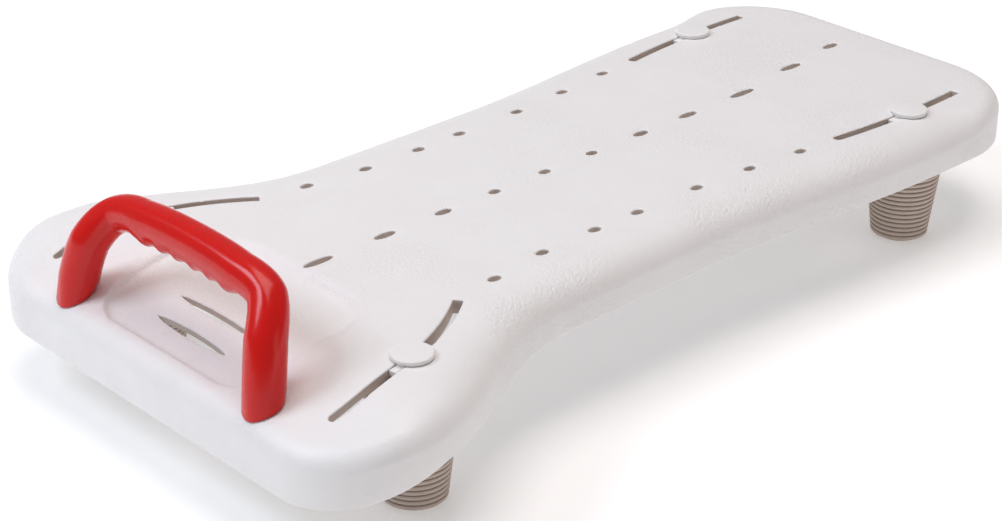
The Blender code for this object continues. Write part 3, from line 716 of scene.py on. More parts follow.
@dataclass
class SeatBoard:
    """The moulded board: a hollow shell with a rolled edge, openings, a soap dish and ribs below."""

    finishes: Finishes
    waist_half: float = 0.1295
    wide_half: float = 0.1926
    narrow_half: float = 0.1442
    wide_flare: tuple[float, float] = (-0.1094, -0.3109)
    narrow_flare: tuple[float, float] = (-0.0133, 0.2644)
    wide_corner: float = 0.0625
    narrow_corner: float = 0.074
    tight_wide: Plan = (-0.270, 0.055)
    tight_narrow: Plan = (0.245, 0.065)
    roll_width: float = 0.0311
    roll_depth: float = 0.0196
    end_roll_width: float = 0.0140
    end_roll_depth: float = 0.0120
    skirt_depth: float = 0.0336
    skirt_wall: float = 0.0036
    deck: float = 0.0045
    fall_start: float = -0.2626
    fall_bend: float = 0.038
    fall_slope: float = 0.311
    field_inset: float = 0.009
    lip: float = 0.0011
    lip_shares: tuple[float, ...] = (0.0, 0.12, 0.45, 1.0)
    mesh_pitch: float = 0.0065
    mesh_closest: float = 0.0009
    mesh_insets: tuple[float, ...] = (0.0115, 0.0145, 0.0180, 0.0220, 0.0265, 0.0311)
    dish_rings: tuple[float, ...] = (-0.0006, 0.0, 0.0005, 0.0010, 0.0022, 0.0036, 0.0052, 0.0068, 0.0080)
    slot_half: float = 0.00325
    rail_depth: float = 0.010
    rail_section: tuple[Plan, ...] = (
        (0.0, 0.0),
        (0.0, 0.9),
        (0.0004, 1.0),
        (0.0043, 1.0),
        (0.0047, 0.9),
        (0.0047, -0.2),
    )
    drain_half: float = 0.0031
    dish_x: tuple[float, float] = (-0.3385, -0.2300)
    dish_half: float = 0.080
    dish_corners: tuple[float, float] = (0.028, 0.037)
    dish_depth: float = 0.0045
    dish_slope: float = 0.0075

    centre_drains: tuple[Place, ...] = (
        (-0.2165, 0.0, 0.0236),
        (-0.1613, 0.0, 0.0174),
        (-0.1107, 0.0, 0.0136),
        (-0.0646, 0.0, 0.0096),
        (-0.0178, 0.0, 0.0098),
        (0.0276, 0.0, 0.0096),
        (0.0767, 0.0, 0.0136),
        (0.1255, 0.0, 0.0174),
        (0.1842, 0.0, 0.0250),
        (0.2493, 0.0089, 0.0220),
        (0.3044, 0.0161, 0.0160),
    )
    side_drains: tuple[Plan, ...] = (
        (-0.1510, 0.0923),
        (-0.1042, 0.0865),
        (-0.0565, 0.0861),
        (-0.0174, 0.0869),
        (0.0392, 0.0877),
        (0.0886, 0.0915),
        (0.1360, 0.0965),
    )
    side_drain_half: float = 0.0051
    rib_half: float = 0.0013
    long_rib_y: tuple[float, ...] = (-0.052, 0.052)
    long_rib_end: float = 0.205
    long_rib_depth: float = 0.0219
    cross_rib_x: tuple[float, ...] = (-0.188, -0.135, -0.084, -0.040, 0.005, 0.054, 0.102, 0.154, 0.214)
    cross_rib_depth: float = 0.0199
    dish_drains: tuple[Place, ...] = ((-0.3160, 0.034, 0.0030), (-0.2965, 0.036, 0.0025))

    def __post_init__(self) -> None:
        """Takes the length and the seat's height from the frame, and draws the fine outline."""
        low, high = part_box("seat_board")
        self.half_length = (high.x - low.x) / 2
        self.seat = high.z
        self.outline = self._outline()
        self.normals = outward_normals(self.outline)
        self.slots = self._slots()

    def half_width(self, x: float) -> float:
        """Half of the board's width at a place along it."""
        wide = ease((x - self.wide_flare[0]) / (self.wide_flare[1] - self.wide_flare[0]))
        narrow = ease((x - self.narrow_flare[0]) / (self.narrow_flare[1] - self.narrow_flare[0]))
        return (
            self.waist_half + (self.wide_half - self.waist_half) * wide + (self.narrow_half - self.waist_half) * narrow
        )

    def seat_z(self, x: float) -> float:
        """Height of the upper surface: level, then falling at the wide end."""
        past = max(self.fall_start - x, 0.0)
        if past < self.fall_bend:
            return self.seat - self.fall_slope * past * past / (2 * self.fall_bend)
        return self.seat - self.fall_slope * (past - self.fall_bend / 2)

    def wide_edge_z(self, x: float) -> float:
        """Height of the upper surface at the middle of the wide end, rolled edge and all."""
        width, depth = self.roll(x)
        share = min(max(1 - (x + self.half_length) / width, 0.0), 1.0)
        return self.seat_z(x) - depth * (1 - math.sqrt(1 - share * share))

    def roll(self, x: float) -> tuple[float, float]:
        """Width and depth of the rolled edge: broad along the sides, tighter round both ends."""
        tight = ease((self.tight_wide[0] - x) / self.tight_wide[1])
        tight += ease((x - self.tight_narrow[0]) / self.tight_narrow[1])
        return (
            self.roll_width + (self.end_roll_width - self.roll_width) * tight,
            self.roll_depth + (self.end_roll_depth - self.roll_depth) * tight,
        )

    def _outline(self) -> Loop:
        """The board's outline, from the middle of the wide end round by the left side."""
        end_steps, corner_steps, side_steps = 22, 30, 150
        wide_x, narrow_x = -self.half_length, self.half_length
        wide_y = self.half_width(wide_x + self.wide_corner) - self.wide_corner
        narrow_y = self.half_width(narrow_x - self.narrow_corner) - self.narrow_corner
        points: Loop = [(wide_x, wide_y * i / end_steps) for i in range(end_steps)]
        for i in range(corner_steps):
            angle = 0.5 * math.pi * i / corner_steps
            reach = self.wide_corner
            points.append((wide_x + reach * (1 - math.cos(angle)), wide_y + reach * math.sin(angle)))
        start = wide_x + self.wide_corner
        run = narrow_x - self.narrow_corner - start
        for i in range(side_steps):
            x = start + run * i / side_steps
            points.append((x, self.half_width(x)))
        for i in range(corner_steps):
            angle = 0.5 * math.pi * i / corner_steps
            reach = self.narrow_corner
            points.append((narrow_x - reach * (1 - math.sin(angle)), narrow_y + reach * math.cos(angle)))
        points += [(narrow_x, narrow_y * (1 - i / end_steps)) for i in range(end_steps + 1)]
        points += [(x, -y) for x, y in points[-2:0:-1]]
        return points

    def _slots(self) -> list[tuple[End, SlotArc]]:
        """The four foot slots."""
        ends = {
            End.WIDE: ((-0.1878, 0.0989), (-0.3187, 0.1388), 0.0124),
            End.NARROW: ((0.1726, 0.0999), (0.3002, 0.1049), 0.0030),
        }
        return [(corner.end, SlotArc(*ends[corner.end], corner.side.value)) for corner in CORNERS]

    def inset(self, distance: float) -> Loop:
        """The outline moved inwards."""
        return [(x - n.x * distance, y - n.y * distance) for (x, y), n in zip(self.outline, self.normals)]

    def roll_drop(self, distance: np.ndarray, width: np.ndarray, depth: np.ndarray) -> np.ndarray:
        """How far an elliptical edge of that width and depth has dropped at distances from its outside."""
        share = np.clip((width - distance) / width, 0.0, 0.9999)
        return depth * (1 - np.sqrt(1 - share * share))

    def dish_inside(self, points: np.ndarray) -> np.ndarray:
        """How far each point is inside the soap dish's outline, below zero outside it."""
        x_middle = (self.dish_x[0] + self.dish_x[1]) / 2
        radius = np.where(points[:, 0] < x_middle, self.dish_corners[0], self.dish_corners[1])
        over_x = np.abs(points[:, 0] - x_middle) - (self.dish_x[1] - self.dish_x[0]) / 2 + radius
        over_y = np.abs(points[:, 1]) - self.dish_half + radius
        outside = np.hypot(np.maximum(over_x, 0), np.maximum(over_y, 0))
        return radius - outside - np.minimum(np.maximum(over_x, over_y), 0)

    def dish_drop(self, points: np.ndarray) -> np.ndarray:
        """How deep the soap dish is at each point: a crisp shoulder, a slope and a soft foot."""
        share = np.clip(self.dish_inside(points) / self.dish_slope, 0.0, 1.0)
        shoulder = np.clip(share / 0.12, 0.0, 1.0)
        return self.dish_depth * (1 - (1 - share) ** 2.2) * (0.5 + 0.5 * shoulder)

    def edge_distance(self, points: np.ndarray) -> np.ndarray:
        """Distance from each point to the outline."""
        start = np.array(self.outline)
        step = np.roll(start, -1, axis=0) - start
        best = np.full(len(points), 1.0)
        for (ax, ay), (dx, dy) in zip(start, step):
            px, py = points[:, 0] - ax, points[:, 1] - ay
            t = np.clip((px * dx + py * dy) / (dx * dx + dy * dy), 0.0, 1.0)
            best = np.minimum(best, np.hypot(px - t * dx, py - t * dy))
        return best

    def openings(self) -> list[Loop]:
        """Outlines of everything that goes through the deck."""
        loops = [oval(x, y, length / 2, self.drain_half, 32) for x, y, length in self.centre_drains]
        for x, y in self.side_drains:
            loops += [oval(x, side.value * y, self.side_drain_half, self.drain_half, 28) for side in Side]
        loops += [lens(x, half, width, 64) for x, half, width in self.dish_drains]
        return loops + [self._mouth(end, arc) for end, arc in self.slots]

    def _mouth(self, end: End, arc: SlotArc) -> Loop:
        """Outline of a foot's slot, round at one end and square at the other."""
        wide = end is End.WIDE
        return arc.strip(arc.angle(0), arc.angle(1), self.slot_half, 44, not wide, wide)

    def _field(self, loops: Sequence[Loop]) -> tuple[list[Plan], list[tuple[int, int]], list[tuple[range, float]]]:
        """Points to triangulate the deck with.

        Args:
            loops: Outlines of the openings.

        Returns:
            The points, the edges that must be kept, and for each lip ring its points and how far it has
            dropped.
        """
        points: list[Plan] = []
        edges: list[tuple[int, int]] = []
        lips: list[tuple[range, float]] = []

        def add(loop: Sequence[Plan], keep: bool) -> range:
            """Adds a closed loop of points, and its edges if they are kept."""
            start = len(points)
            points.extend(loop)
            span = range(start, len(points))
            if keep:
                edges.extend((i, i + 1 if i + 1 < span.stop else start) for i in span)
            return span

        add(self.inset(self.field_inset), True)
        for loop in loops:
            for share in self.lip_shares:
                span = add(grown(loop, self.lip * share), share == 0.0)
                lips.append((span, self.lip * (1 - math.sqrt(1 - (1 - share) ** 2)) * 0.8))
        taken = np.array(points)
        extra: list[Plan] = []
        for inset in self.mesh_insets:
            extra += self.inset(inset)[::2]
        middle = ((self.dish_x[0] + self.dish_x[1]) / 2, 0.0)
        for depth in self.dish_rings:
            extra += self._dish_loop(depth, middle)
        pitch = self.mesh_pitch
        rows = int(2 * self.wide_half / pitch)
        columns = int(2 * self.half_length / pitch)
        for row in range(rows):
            for column in range(columns):
                x = -self.half_length + pitch * (column + 0.5 * (row % 2))
                extra.append((x, -self.wide_half + pitch * (row + 0.5)))
        candidates = np.array(extra)
        kept = inside(candidates, self.inset(self.field_inset + 0.001))
        for loop in loops:
            kept &= ~inside(candidates, grown(loop, self.lip * 1.3))
        candidates = candidates[kept]
        chosen: list[Plan] = []
        cells: dict[tuple[int, int], list[Plan]] = {}
        size = self.mesh_closest
        for x, y in [*map(tuple, taken), *map(tuple, candidates)]:
            cell = (int(x // size), int(y // size))
            around = [(cell[0] + i, cell[1] + j) for i in (-1, 0, 1) for j in (-1, 0, 1)]
            near = [p for key in around for p in cells.get(key, ())]
            if len(chosen) >= len(taken) and any(math.dist(p, (x, y)) < size for p in near):
                continue
            cells.setdefault(cell, []).append((x, y))
            chosen.append((x, y))
        return chosen, edges, lips

    def _dish_loop(self, depth: float, middle: Plan) -> Loop:
        """The line that lies a certain way inside the dish's outline."""
        loop = []
        for i in range(220):
            turn = 2 * math.pi * i / 220
            low, high = 0.0, 0.12
            for _ in range(26):
                reach = (low + high) / 2
                spot = np.array([[middle[0] + reach * math.cos(turn), middle[1] + reach * math.sin(turn)]])
                if self.dish_inside(spot)[0] > depth:
                    low = reach
                else:
                    high = reach
            loop.append((middle[0] + low * math.cos(turn), middle[1] + low * math.sin(turn)))
        return loop

    def _deck(self, shape: Shape, loops: Sequence[Loop]) -> None:
        """Adds the deck's two faces and the walls of its openings."""
        points, edges, lips = self._field(loops)
        plan, _, triangles, origins, _, _ = delaunay_2d_cdt([Vector(p) for p in points], edges, [], 1, 1e-7)
        place = np.array([tuple(p) for p in plan])
        centres = place[np.array(triangles)].mean(axis=1)
        solid = np.ones(len(triangles), bool)
        for loop in loops:
            solid &= ~inside(centres, loop)
        distance = self.edge_distance(place)
        seat = np.array([self.seat_z(x) for x in place[:, 0]])
        dish = self.dish_drop(place)
        width, depth = np.array([self.roll(x) for x in place[:, 0]]).T
        top = seat - self.roll_drop(distance, width, depth) - dish
        inner = self.roll_drop(distance - self.skirt_wall, width - self.skirt_wall, depth - self.deck)
        bottom = seat - self.deck - inner - dish
        found = {origin: index for index, group in enumerate(origins) for origin in group}
        for number, (x, _) in enumerate(self.outline):
            profile = self._profile(x)
            top[found[number]] = seat[found[number]] - profile[0][1]
            bottom[found[number]] = seat[found[number]] - profile[-1][1]
        for span, drop in lips:
            for number in span:
                top[found[number]] -= drop
        upper = shape.ring(np.column_stack([place, top]).tolist())
        lower = shape.ring(np.column_stack([place, bottom]).tolist())
        for keep, (a, b, c) in zip(solid, triangles):
            if keep:
                shape.faces.append((upper[a], upper[b], upper[c]))
                shape.faces.append((lower[c], lower[b], lower[a]))
        for span, _ in lips[:: len(self.lip_shares)]:
            numbers = [found[number] for number in span]
            self._wall(shape, [upper[n] for n in numbers], [lower[n] for n in numbers])

    def _wall(self, shape: Shape, upper: Sequence[int], lower: Sequence[int]) -> None:
        """Adds the wall of one of the openings and notes its faces, which get the painted shade: a darker, warmer
        colour that stands for the shade inside the openings.
        """
        start = len(shape.faces)
        shape.bridge(upper, lower)
        shape.second.update(range(start, len(shape.faces)))

    def _edge(self, shape: Shape) -> None:
        """Adds the rolled edge, the skirt, its rounded rim and the wall inside."""
        profiles = [self._profile(x) for x, _ in self.outline]
        rings = []
        for step in range(len(profiles[0])):
            ring = []
            for (x, y), n, profile in zip(self.outline, self.normals, profiles):
                inset, drop = profile[step]
                ring.append((x - n.x * inset, y - n.y * inset, self.seat_z(x - n.x * inset) - drop))
            rings.append(shape.ring(ring))
        shape.loft(rings)

    def _profile(self, x: float) -> list[tuple[float, float]]:
        """Section of the edge.

        Args:
            x: Place along the board.

        Returns:
            (inset, drop) from the deck's upper face, over the edge and up to the deck's underside.
        """
        width, depth = self.roll(x)
        inner_width, inner_depth = width - self.skirt_wall, depth - self.deck
        rounding = 0.0013
        first = math.asin(1 - self.field_inset / width)
        profile = []
        for i in range(13):
            angle = first + (math.pi / 2 - first) * i / 12
            profile.append((width * (1 - math.sin(angle)), depth * (1 - math.cos(angle))))
        profile.append((0.0, (depth + self.skirt_depth) / 2))
        for i in range(5):
            angle = math.pi / 2 * i / 4
            profile.append((rounding * (1 - math.cos(angle)), self.skirt_depth - rounding * (1 - math.sin(angle))))
        for i in range(5):
            angle = math.pi / 2 * i / 4
            reach = self.skirt_wall - rounding * (1 - math.sin(angle))
            profile.append((reach, self.skirt_depth - rounding * (1 - math.cos(angle))))
        first = math.asin(1 - (self.field_inset - self.skirt_wall) / inner_width)
        for i in range(7):
            angle = math.pi / 2 + (first - math.pi / 2) * i / 6
            inset = self.skirt_wall + inner_width * (1 - math.sin(angle))
            profile.append((inset, self.deck + inner_depth * (1 - math.cos(angle))))
        return profile

    def _rails(self, shape: Shape) -> None:
        """Adds the rail that surrounds each slot below the deck."""
        for end, arc in self.slots:
            mouth = self._mouth(end, arc)
            rings = []
            for reach, below in self.rail_section:
                loop = grown(mouth, reach)
                ring = []
                for x, y in loop:
                    under = self.seat_z(x) - self.deck
                    bottom = min(self.seat, self.seat_z(x) + 0.004) - self.rail_depth
                    ring.append((x, y, under + (bottom - under) * below))
                rings.append(shape.ring(ring))
            # The inner face of the rail gets the painted shade of the openings.
            self._wall(shape, rings[0], rings[1])
            shape.loft(rings[1:])
            shape.bridge(rings[-1], rings[0])

    def _ribs(self, shape: Shape) -> None:
        """Adds the stiffening ribs below the deck, each with a slight draft and a rounded foot."""
        half, top = self.rib_half, self.seat - self.deck + 0.0012
        for y in self.long_rib_y:
            ends = ((-self.long_rib_end, y), (self.long_rib_end, y))
            self._rib(shape, *ends, half, top, self.seat - self.long_rib_depth)
        for x in self.cross_rib_x:
            reach = self.half_width(x) - 0.022 if abs(x) < 0.16 else 0.067
            self._rib(shape, (x, -reach), (x, reach), half, top, self.seat - self.cross_rib_depth)

    @staticmethod
    def _rib(shape: Shape, start: Plan, end: Plan, half: float, top: float, bottom: float) -> None:
        """Adds one rib.

        Args:
            shape: Where it goes.
            start: Its first end in plan.
            end: Its last end in plan.
            half: Half of its thickness at the root.
            top: Height of its root.
            bottom: Height of its foot.
        """
        along = (Vector(end) - Vector(start)).normalized()
        across = Vector((-along.y, along.x))
        rings = []
        foot = ((bottom + 0.0005, half * 0.72, 0.002), (bottom, half * 0.35, 0.0026))
        for z, width, pull in ((top, half, 0.0), *foot):
            corners = []
            for point, way in ((Vector(start), 1.0), (Vector(end), -1.0)):
                for sense in (way, -way):
                    spot = point + along * pull * way + across * width * sense
                    corners.append((spot.x, spot.y, z))
            rings.append(shape.ring(corners))
        shape.loft(rings)
        shape.faces.append(tuple(rings[0]))
        shape.faces.append(tuple(rings[-1]))

    def _bosses(self, shape: Shape) -> None:
        """Adds the two hollow bosses below the handle's legs, from the washers up into the deck."""
        section = ((0.003, None), (0.003, 0.0003), (0.0033, 0.0), (0.0134, 0.0), (0.014, 0.0006), (0.014, None))
        for side in Side:
            low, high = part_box(f"handle_washer_{side.name.lower()}")
            x, y = (low.x + high.x) / 2, (low.y + high.y) / 2
            floor = high.z + 0.0003
            rings = []
            for radius, lift in section:
                ring = []
                for a, b in oval(x, y, radius, radius, 40):
                    ring.append((a, b, self.wide_edge_z(a) - 0.0030 if lift is None else floor + lift))
                rings.append(shape.ring(ring))
            shape.loft(rings, closed=True)

    def build(self) -> bpy.types.Object:
        """Makes the board and lets it stand for the frame's board.

        Returns:
            The finished piece.
        """
        shape = Shape()
        self._deck(shape, self.openings())
        self._edge(shape)
        self._rails(shape)
        self._ribs(shape)
        self._bosses(shape)
        board = shape.made("seat_board_shell", self.finishes.board, sharp=50.0)
        # The second material is the painted shade on the walls of the openings.
        board.data.materials.append(self.finishes.opening)
        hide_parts("seat_board")
        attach(board, "board")
        return board


# ---------------------------------------------------------------------------------------------------
# The grab handle


@dataclass
class GrabHandle:
    """The red grip: a bent bar with finger hollows below and a soft ridge along its upper front."""

    finishes: Finishes
    deck_z: Callable[[float], float]
    line: tuple[Place, ...] = (
        (-0.3350, 0.0950, 0.0790),
        (-0.3261, 0.0880, 0.1155),
        (-0.3129, 0.0739, 0.1348),
        (-0.3112, 0.0480, 0.1400),
        (-0.3102, 0.0000, 0.1420),
    )
    leg_radius: float = 0.0130
    bar_radius: float = 0.0121
    hollow_pitch: float = 0.0165
    hollow_depth: float = 0.0018
    grip_depth: float = 0.0045
    grip_half_length: float = 0.0560
    ridge: float = 0.0005
    hollows: int = 5
    sides: int = 48

    def _line(self) -> list[Vector]:
        """The whole centre line, from the base of the left leg to the base of the right."""
        half = [Vector(p) for p in self.line]
        knots = half + [Vector((p.x, -p.y, p.z)) for p in half[-2::-1]]
        knots = [knots[0] * 2 - knots[1], *knots, knots[-1] * 2 - knots[-2]]
        return smooth_path(knots, 30)

    def _hollow(self, y: float) -> float:
        """How deep the finger hollows are at a place along the bar, with thin cusps between them."""
        run = y / self.hollow_pitch + self.hollows / 2
        if not 0 < run < self.hollows:
            return 0.0
        across = abs(2 * (run % 1.0) - 1)
        return self.hollow_depth * (1 - across**2.4)

    def _reach(self, point: Vector, turn: float) -> float:
        """Distance from the centre line to the surface.

        Args:
            point: The place on the centre line.
            turn: Angle round the bar: 0 is towards +X, and a quarter turn is towards the inside.

        Returns:
            The distance.
        """
        bar = ease((point.z - 0.108) / 0.030)
        radius = self.leg_radius + (self.bar_radius - self.leg_radius) * bar
        inner = max(math.sin(turn), 0.0) ** 1.5
        ridge_turn = math.remainder(turn - math.radians(235), 2 * math.pi)
        ridge = self.ridge * math.exp(-((ridge_turn / 0.30) ** 2)) * bar
        flat_turn = math.remainder(turn - math.radians(275), 2 * math.pi)
        flat = self.ridge * math.exp(-((flat_turn / 0.45) ** 2)) * bar
        swell = self.grip_depth * ease((self.grip_half_length - abs(point.y)) / 0.016)
        swell *= max(math.sin(turn), 0.0) ** 2
        return radius + swell * bar - self._hollow(point.y) * inner + ridge - flat

    def build(self) -> bpy.types.Object:
        """Makes the handle and lets it stand for the frame's handle.

        Returns:
            The finished piece.
        """
        shape = Shape()
        line = self._line()
        rings = []
        last = len(line) - 1
        for i, point in enumerate(line):
            along = (line[min(i + 1, last)] - line[max(i - 1, 0)]).normalized()
            front = Vector((1.0, 0.0, 0.0))
            front = (front - along * front.dot(along)).normalized()
            inward = front.cross(along)
            ring = []
            for k in range(self.sides):
                turn = 2 * math.pi * k / self.sides
                ring.append(point + (front * math.cos(turn) + inward * math.sin(turn)) * self._reach(point, turn))
            rings.append(ring)
        rings = self._based(rings, line)
        numbered = [shape.ring(ring) for ring in rings]
        shape.loft(numbered)
        for ring in (numbered[0], numbered[-1]):
            middle = np.mean([shape.points[n] for n in ring], axis=0)
            shape.fan(ring, middle.tolist())
        handle = shape.made("grab_handle_grip", self.finishes.handle, sharp=60.0)
        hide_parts("grab_handle")
        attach(handle, "board")
        return handle

    def _based(self, rings: list[list[Vector]], line: list[Vector]) -> list[list[Vector]]:
        """Cuts the legs to the falling seat and rounds their lower edges.

        Args:
            rings: The bar's rings, from one base to the other.
            line: The centre line.

        Returns:
            The rings with a rounded base at each end.
        """
        gap, rounding = 0.0003, 0.0016
        kept = [ring for ring in rings if all(place.z > self.deck_z(place.x) + 0.0035 for place in ring)]
        bases = []
        for ring, point in ((rings[0], line[0]), (rings[-1], line[-1])):
            base = []
            for share in (0.3, 0.6, 0.8):
                row = [point.lerp(place, share) for place in ring]
                base.append([Vector((spot.x, spot.y, self.deck_z(spot.x) + gap)) for spot in row])
            for i in range(7):
                angle = math.pi / 2 * i / 6
                pull = rounding * (1 - math.sin(angle))
                lift = rounding * (1 - math.cos(angle))
                row = []
                for place in ring:
                    out = Vector((place.x - point.x, place.y - point.y, 0.0))
                    spot = place - out.normalized() * pull
                    row.append(Vector((spot.x, spot.y, self.deck_z(spot.x) + gap + lift)))
                base.append(row)
            bases.append(base)
        return bases[0] + kept + bases[1][::-1]


# ---------------------------------------------------------------------------------------------------
# Clamps and feet


@dataclass
class ClampCap:
    """A round cap on the seat, with a key on each side that slides in the slot."""

    corner: Corner
    arc: SlotArc
    finishes: Finishes
    key_half: float = 0.0029
    key_near: float = 0.0062
    key_reach: float = 0.0190

    def _key(self, shape: Shape, seat: float, sense: int) -> None:
        """Adds one key: a low tongue with rounded edges, and a riser up to the disc."""
        x, y = self.corner.place
        cx, cy = self.arc.centre
        middle = math.atan2(y - cy, x - cx)
        way = sense / self.arc.radius
        soft = 0.0005
        for near, far, half, low, high in (
            (self.key_near, self.key_reach, self.key_half, seat - 0.0052, seat - 0.0010),
            (self.key_near, 0.0122, self.key_half - 0.0002, seat - 0.0030, seat + 0.0012),
        ):
            rings = []
            for z, pull in ((low, soft), (low + soft, 0.0), (high - soft, 0.0), (high, soft)):
                start, end = middle + way * (near + pull), middle + way * (far - pull)
                loop = [self.arc.at(start + (end - start) * i / 6, half - pull) for i in range(7)]
                loop += [self.arc.at(end + (start - end) * i / 6, pull - half) for i in range(7)]
                rings.append(shape.ring((px, py, z) for px, py in loop))
            shape.loft(rings)
            shape.faces.append(tuple(rings[0]))
            shape.faces.append(tuple(rings[-1]))

    def build(self) -> bpy.types.Object:
        """Makes the cap and lets it stand for the frame's cap.

        Returns:
            The finished piece.
        """
        low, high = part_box(f"clamp_cap_{self.corner.name}")
        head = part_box(f"clamp_stud_{self.corner.name}")[1].z
        radius = (high.y - low.y) / 2
        top = high.z
        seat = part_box("seat_board")[1].z
        under = seat + 0.0003
        profile = [(0.0, top), (radius * 0.40, top - 0.00003), (radius * 0.72, top - 0.00012)]
        edge = 0.0011
        for i in range(8):
            angle = math.pi / 2 * i / 7
            profile.append((radius - edge * (1 - math.sin(angle)), top - 0.0002 - edge * (1 - math.cos(angle))))
        profile += [(radius - 0.00005, under + 0.0006), (radius - 0.0005, under)]
        profile += [(0.0056, under), (0.0053, under + 0.0003), (0.0053, head + 0.0002), (0.0, head + 0.0002)]
        shape = Shape()
        shape.turned(profile, self.corner.place, 72)
        for sense in (-1, 1):
            self._key(shape, seat, sense)
        cap = shape.made(f"clamp_cap_disc_{self.corner.name}", self.finishes.cap)
        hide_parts(f"clamp_cap_{self.corner.name}")
        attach(cap, f"cap_{self.corner.name}")
        return cap


@dataclass
class RibbedFoot:
    """The rubber sleeve of a foot, with ring ribs all the way up."""

    corner: Corner
    finishes: Finishes
    pitch: float = 0.0037
    first: float = 0.0042
    groove: float = 0.0012
    sole_radius: float = 0.0205

    @staticmethod
    def rib_tree(material: bpy.types.Material) -> bpy.types.NodeTree:
        """Makes the tree that stacks ring ribs round a tapering sleeve.

        Args:
            material: What the sleeve is made of.

        Returns:
            A Geometry Nodes tree with named sizes.
        """
        tree = bpy.data.node_groups.new("ring_ribs", "GeometryNodeTree")
        tree.interface.new_socket("Sleeve", in_out="INPUT", socket_type="NodeSocketGeometry")
        tree.interface.new_socket("Foot", in_out="INPUT", socket_type="NodeSocketVector")
        for name in ("First Height", "Pitch", "Lowest Radius", "Growth", "Rib Radius"):
            tree.interface.new_socket(name, in_out="INPUT", socket_type="NodeSocketFloat")
        tree.interface.new_socket("Ribs", in_out="INPUT", socket_type="NodeSocketInt")
        tree.interface.new_socket("Sleeve", in_out="OUTPUT", socket_type="NodeSocketGeometry")
        graph = Graph(tree)
        given = tree.nodes.new("NodeGroupInput")

        def wanted(name: str) -> Value:
            """The tree's input of that name."""
            return Value(graph, given.outputs[name])

        start = graph.node("ShaderNodeCombineXYZ", inputs={"Z": wanted("First Height")})
        start = graph.node("ShaderNodeVectorMath", {"operation": "ADD"}, {0: wanted("Foot"), 1: start})
        step = graph.node("ShaderNodeCombineXYZ", inputs={"Z": wanted("Pitch")})
        line = graph.node(
            "GeometryNodeMeshLine", inputs={"Count": wanted("Ribs"), "Start Location": start, "Offset": step}
        )
        circle = graph.node(
            "GeometryNodeCurvePrimitiveCircle", inputs={"Resolution": 96, "Radius": wanted("Lowest Radius")}
        )
        section = graph.node(
            "GeometryNodeCurvePrimitiveCircle", inputs={"Resolution": 12, "Radius": wanted("Rib Radius")}
        )
        rib = graph.node("GeometryNodeCurveToMesh", inputs={"Curve": circle, "Profile Curve": section})
        number = graph.node("GeometryNodeInputIndex")
        wider = number * wanted("Growth") + 1.0
        scale = graph.node("ShaderNodeCombineXYZ", inputs={"X": wider, "Y": wider, "Z": 1.0})
        ribs = graph.node("GeometryNodeInstanceOnPoints", inputs={"Points": line, "Instance": rib, "Scale": scale})
        joined = tree.nodes.new("GeometryNodeJoinGeometry")
        for part in (wanted("Sleeve"), ribs):
            tree.links.new(part.socket, joined.inputs[0])
        whole = graph.node("GeometryNodeRealizeInstances", inputs={"Geometry": Value(graph, joined.outputs[0])})
        smooth = graph.node("GeometryNodeSetShadeSmooth", inputs={"Geometry": whole})
        dressed = graph.node("GeometryNodeSetMaterial", inputs={"Geometry": smooth, "Material": material})
        result = tree.nodes.new("NodeGroupOutput")
        tree.links.new(dressed.socket, result.inputs[0])
        return tree

    def build(self, tree: bpy.types.NodeTree) -> bpy.types.Object:
        """Makes the sleeve and lets it stand for the frame's sleeve.

        Args:
            tree: The tree that adds the ribs.

        Returns:
            The finished piece.
        """
        low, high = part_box(f"foot_sleeve_{self.corner.name}")
        top_radius = (high.x - low.x) / 2
        rim = high.z
        slope = (top_radius - self.sole_radius) / rim
        body = self.sole_radius - self.groove
        wall, sole = 0.0024, 0.005
        rib_radius = self.pitch * 0.52
        shape = Shape()
        profile = [
            (0.0, 0.0),
            (body - 0.0042, 0.0),
            (body - 0.0030, 0.0003),
            (body - 0.0012, 0.0016),
            (body + slope * self.first, self.first),
            (top_radius - self.groove, rim - 0.0004),
            (top_radius - self.groove - 0.0003, rim),
            (top_radius - wall - self.groove, rim),
            (body - wall + slope * sole, sole),
            (0.0, sole),
        ]
        shape.turned(profile, self.corner.place, 96)
        sleeve = shape.made(f"sleeve_body_{self.corner.name}", None)
        count = int((rim - self.first - rib_radius) / self.pitch) + 1
        lowest = self.sole_radius + slope * self.first - rib_radius
        sizes = {
            "Foot": (*self.corner.place, 0.0),
            "First Height": self.first,
            "Pitch": self.pitch,
            "Lowest Radius": lowest,
            "Growth": slope * self.pitch / lowest,
            "Rib Radius": rib_radius,
            "Ribs": count,
        }
        foot = grown_by_nodes(sleeve, tree, sizes, f"rubber_foot_{self.corner.name}")
        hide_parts(f"foot_sleeve_{self.corner.name}")
        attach(foot, f"foot_{self.corner.name}")
        return foot


def grown_by_nodes(seed: bpy.types.Object, tree: bpy.types.NodeTree, sizes: dict, name: str) -> bpy.types.Object:
    """Runs a Geometry Nodes tree on an object and keeps the result as a plain mesh.

    Args:
        seed: The object that the tree works on. It is removed afterwards.
        tree: The tree.
        sizes: The tree's inputs, by name.
        name: Name of the new object.

    Returns:
        The new object.
    """
    modifier = seed.modifiers.new(tree.name, "NODES")
    modifier.node_group = tree
    for item in tree.interface.items_tree:
        if item.in_out == "INPUT" and item.name in sizes:
            modifier[item.identifier] = sizes[item.name]
    graph = bpy.context.evaluated_depsgraph_get()
    mesh = bpy.data.meshes.new_from_object(seed.evaluated_get(graph))
    mesh.name = name
    obj = bpy.data.objects.new(name, mesh)
    bpy.context.scene.collection.objects.link(obj)
    bpy.data.objects.remove(seed, do_unlink=True)
    return obj


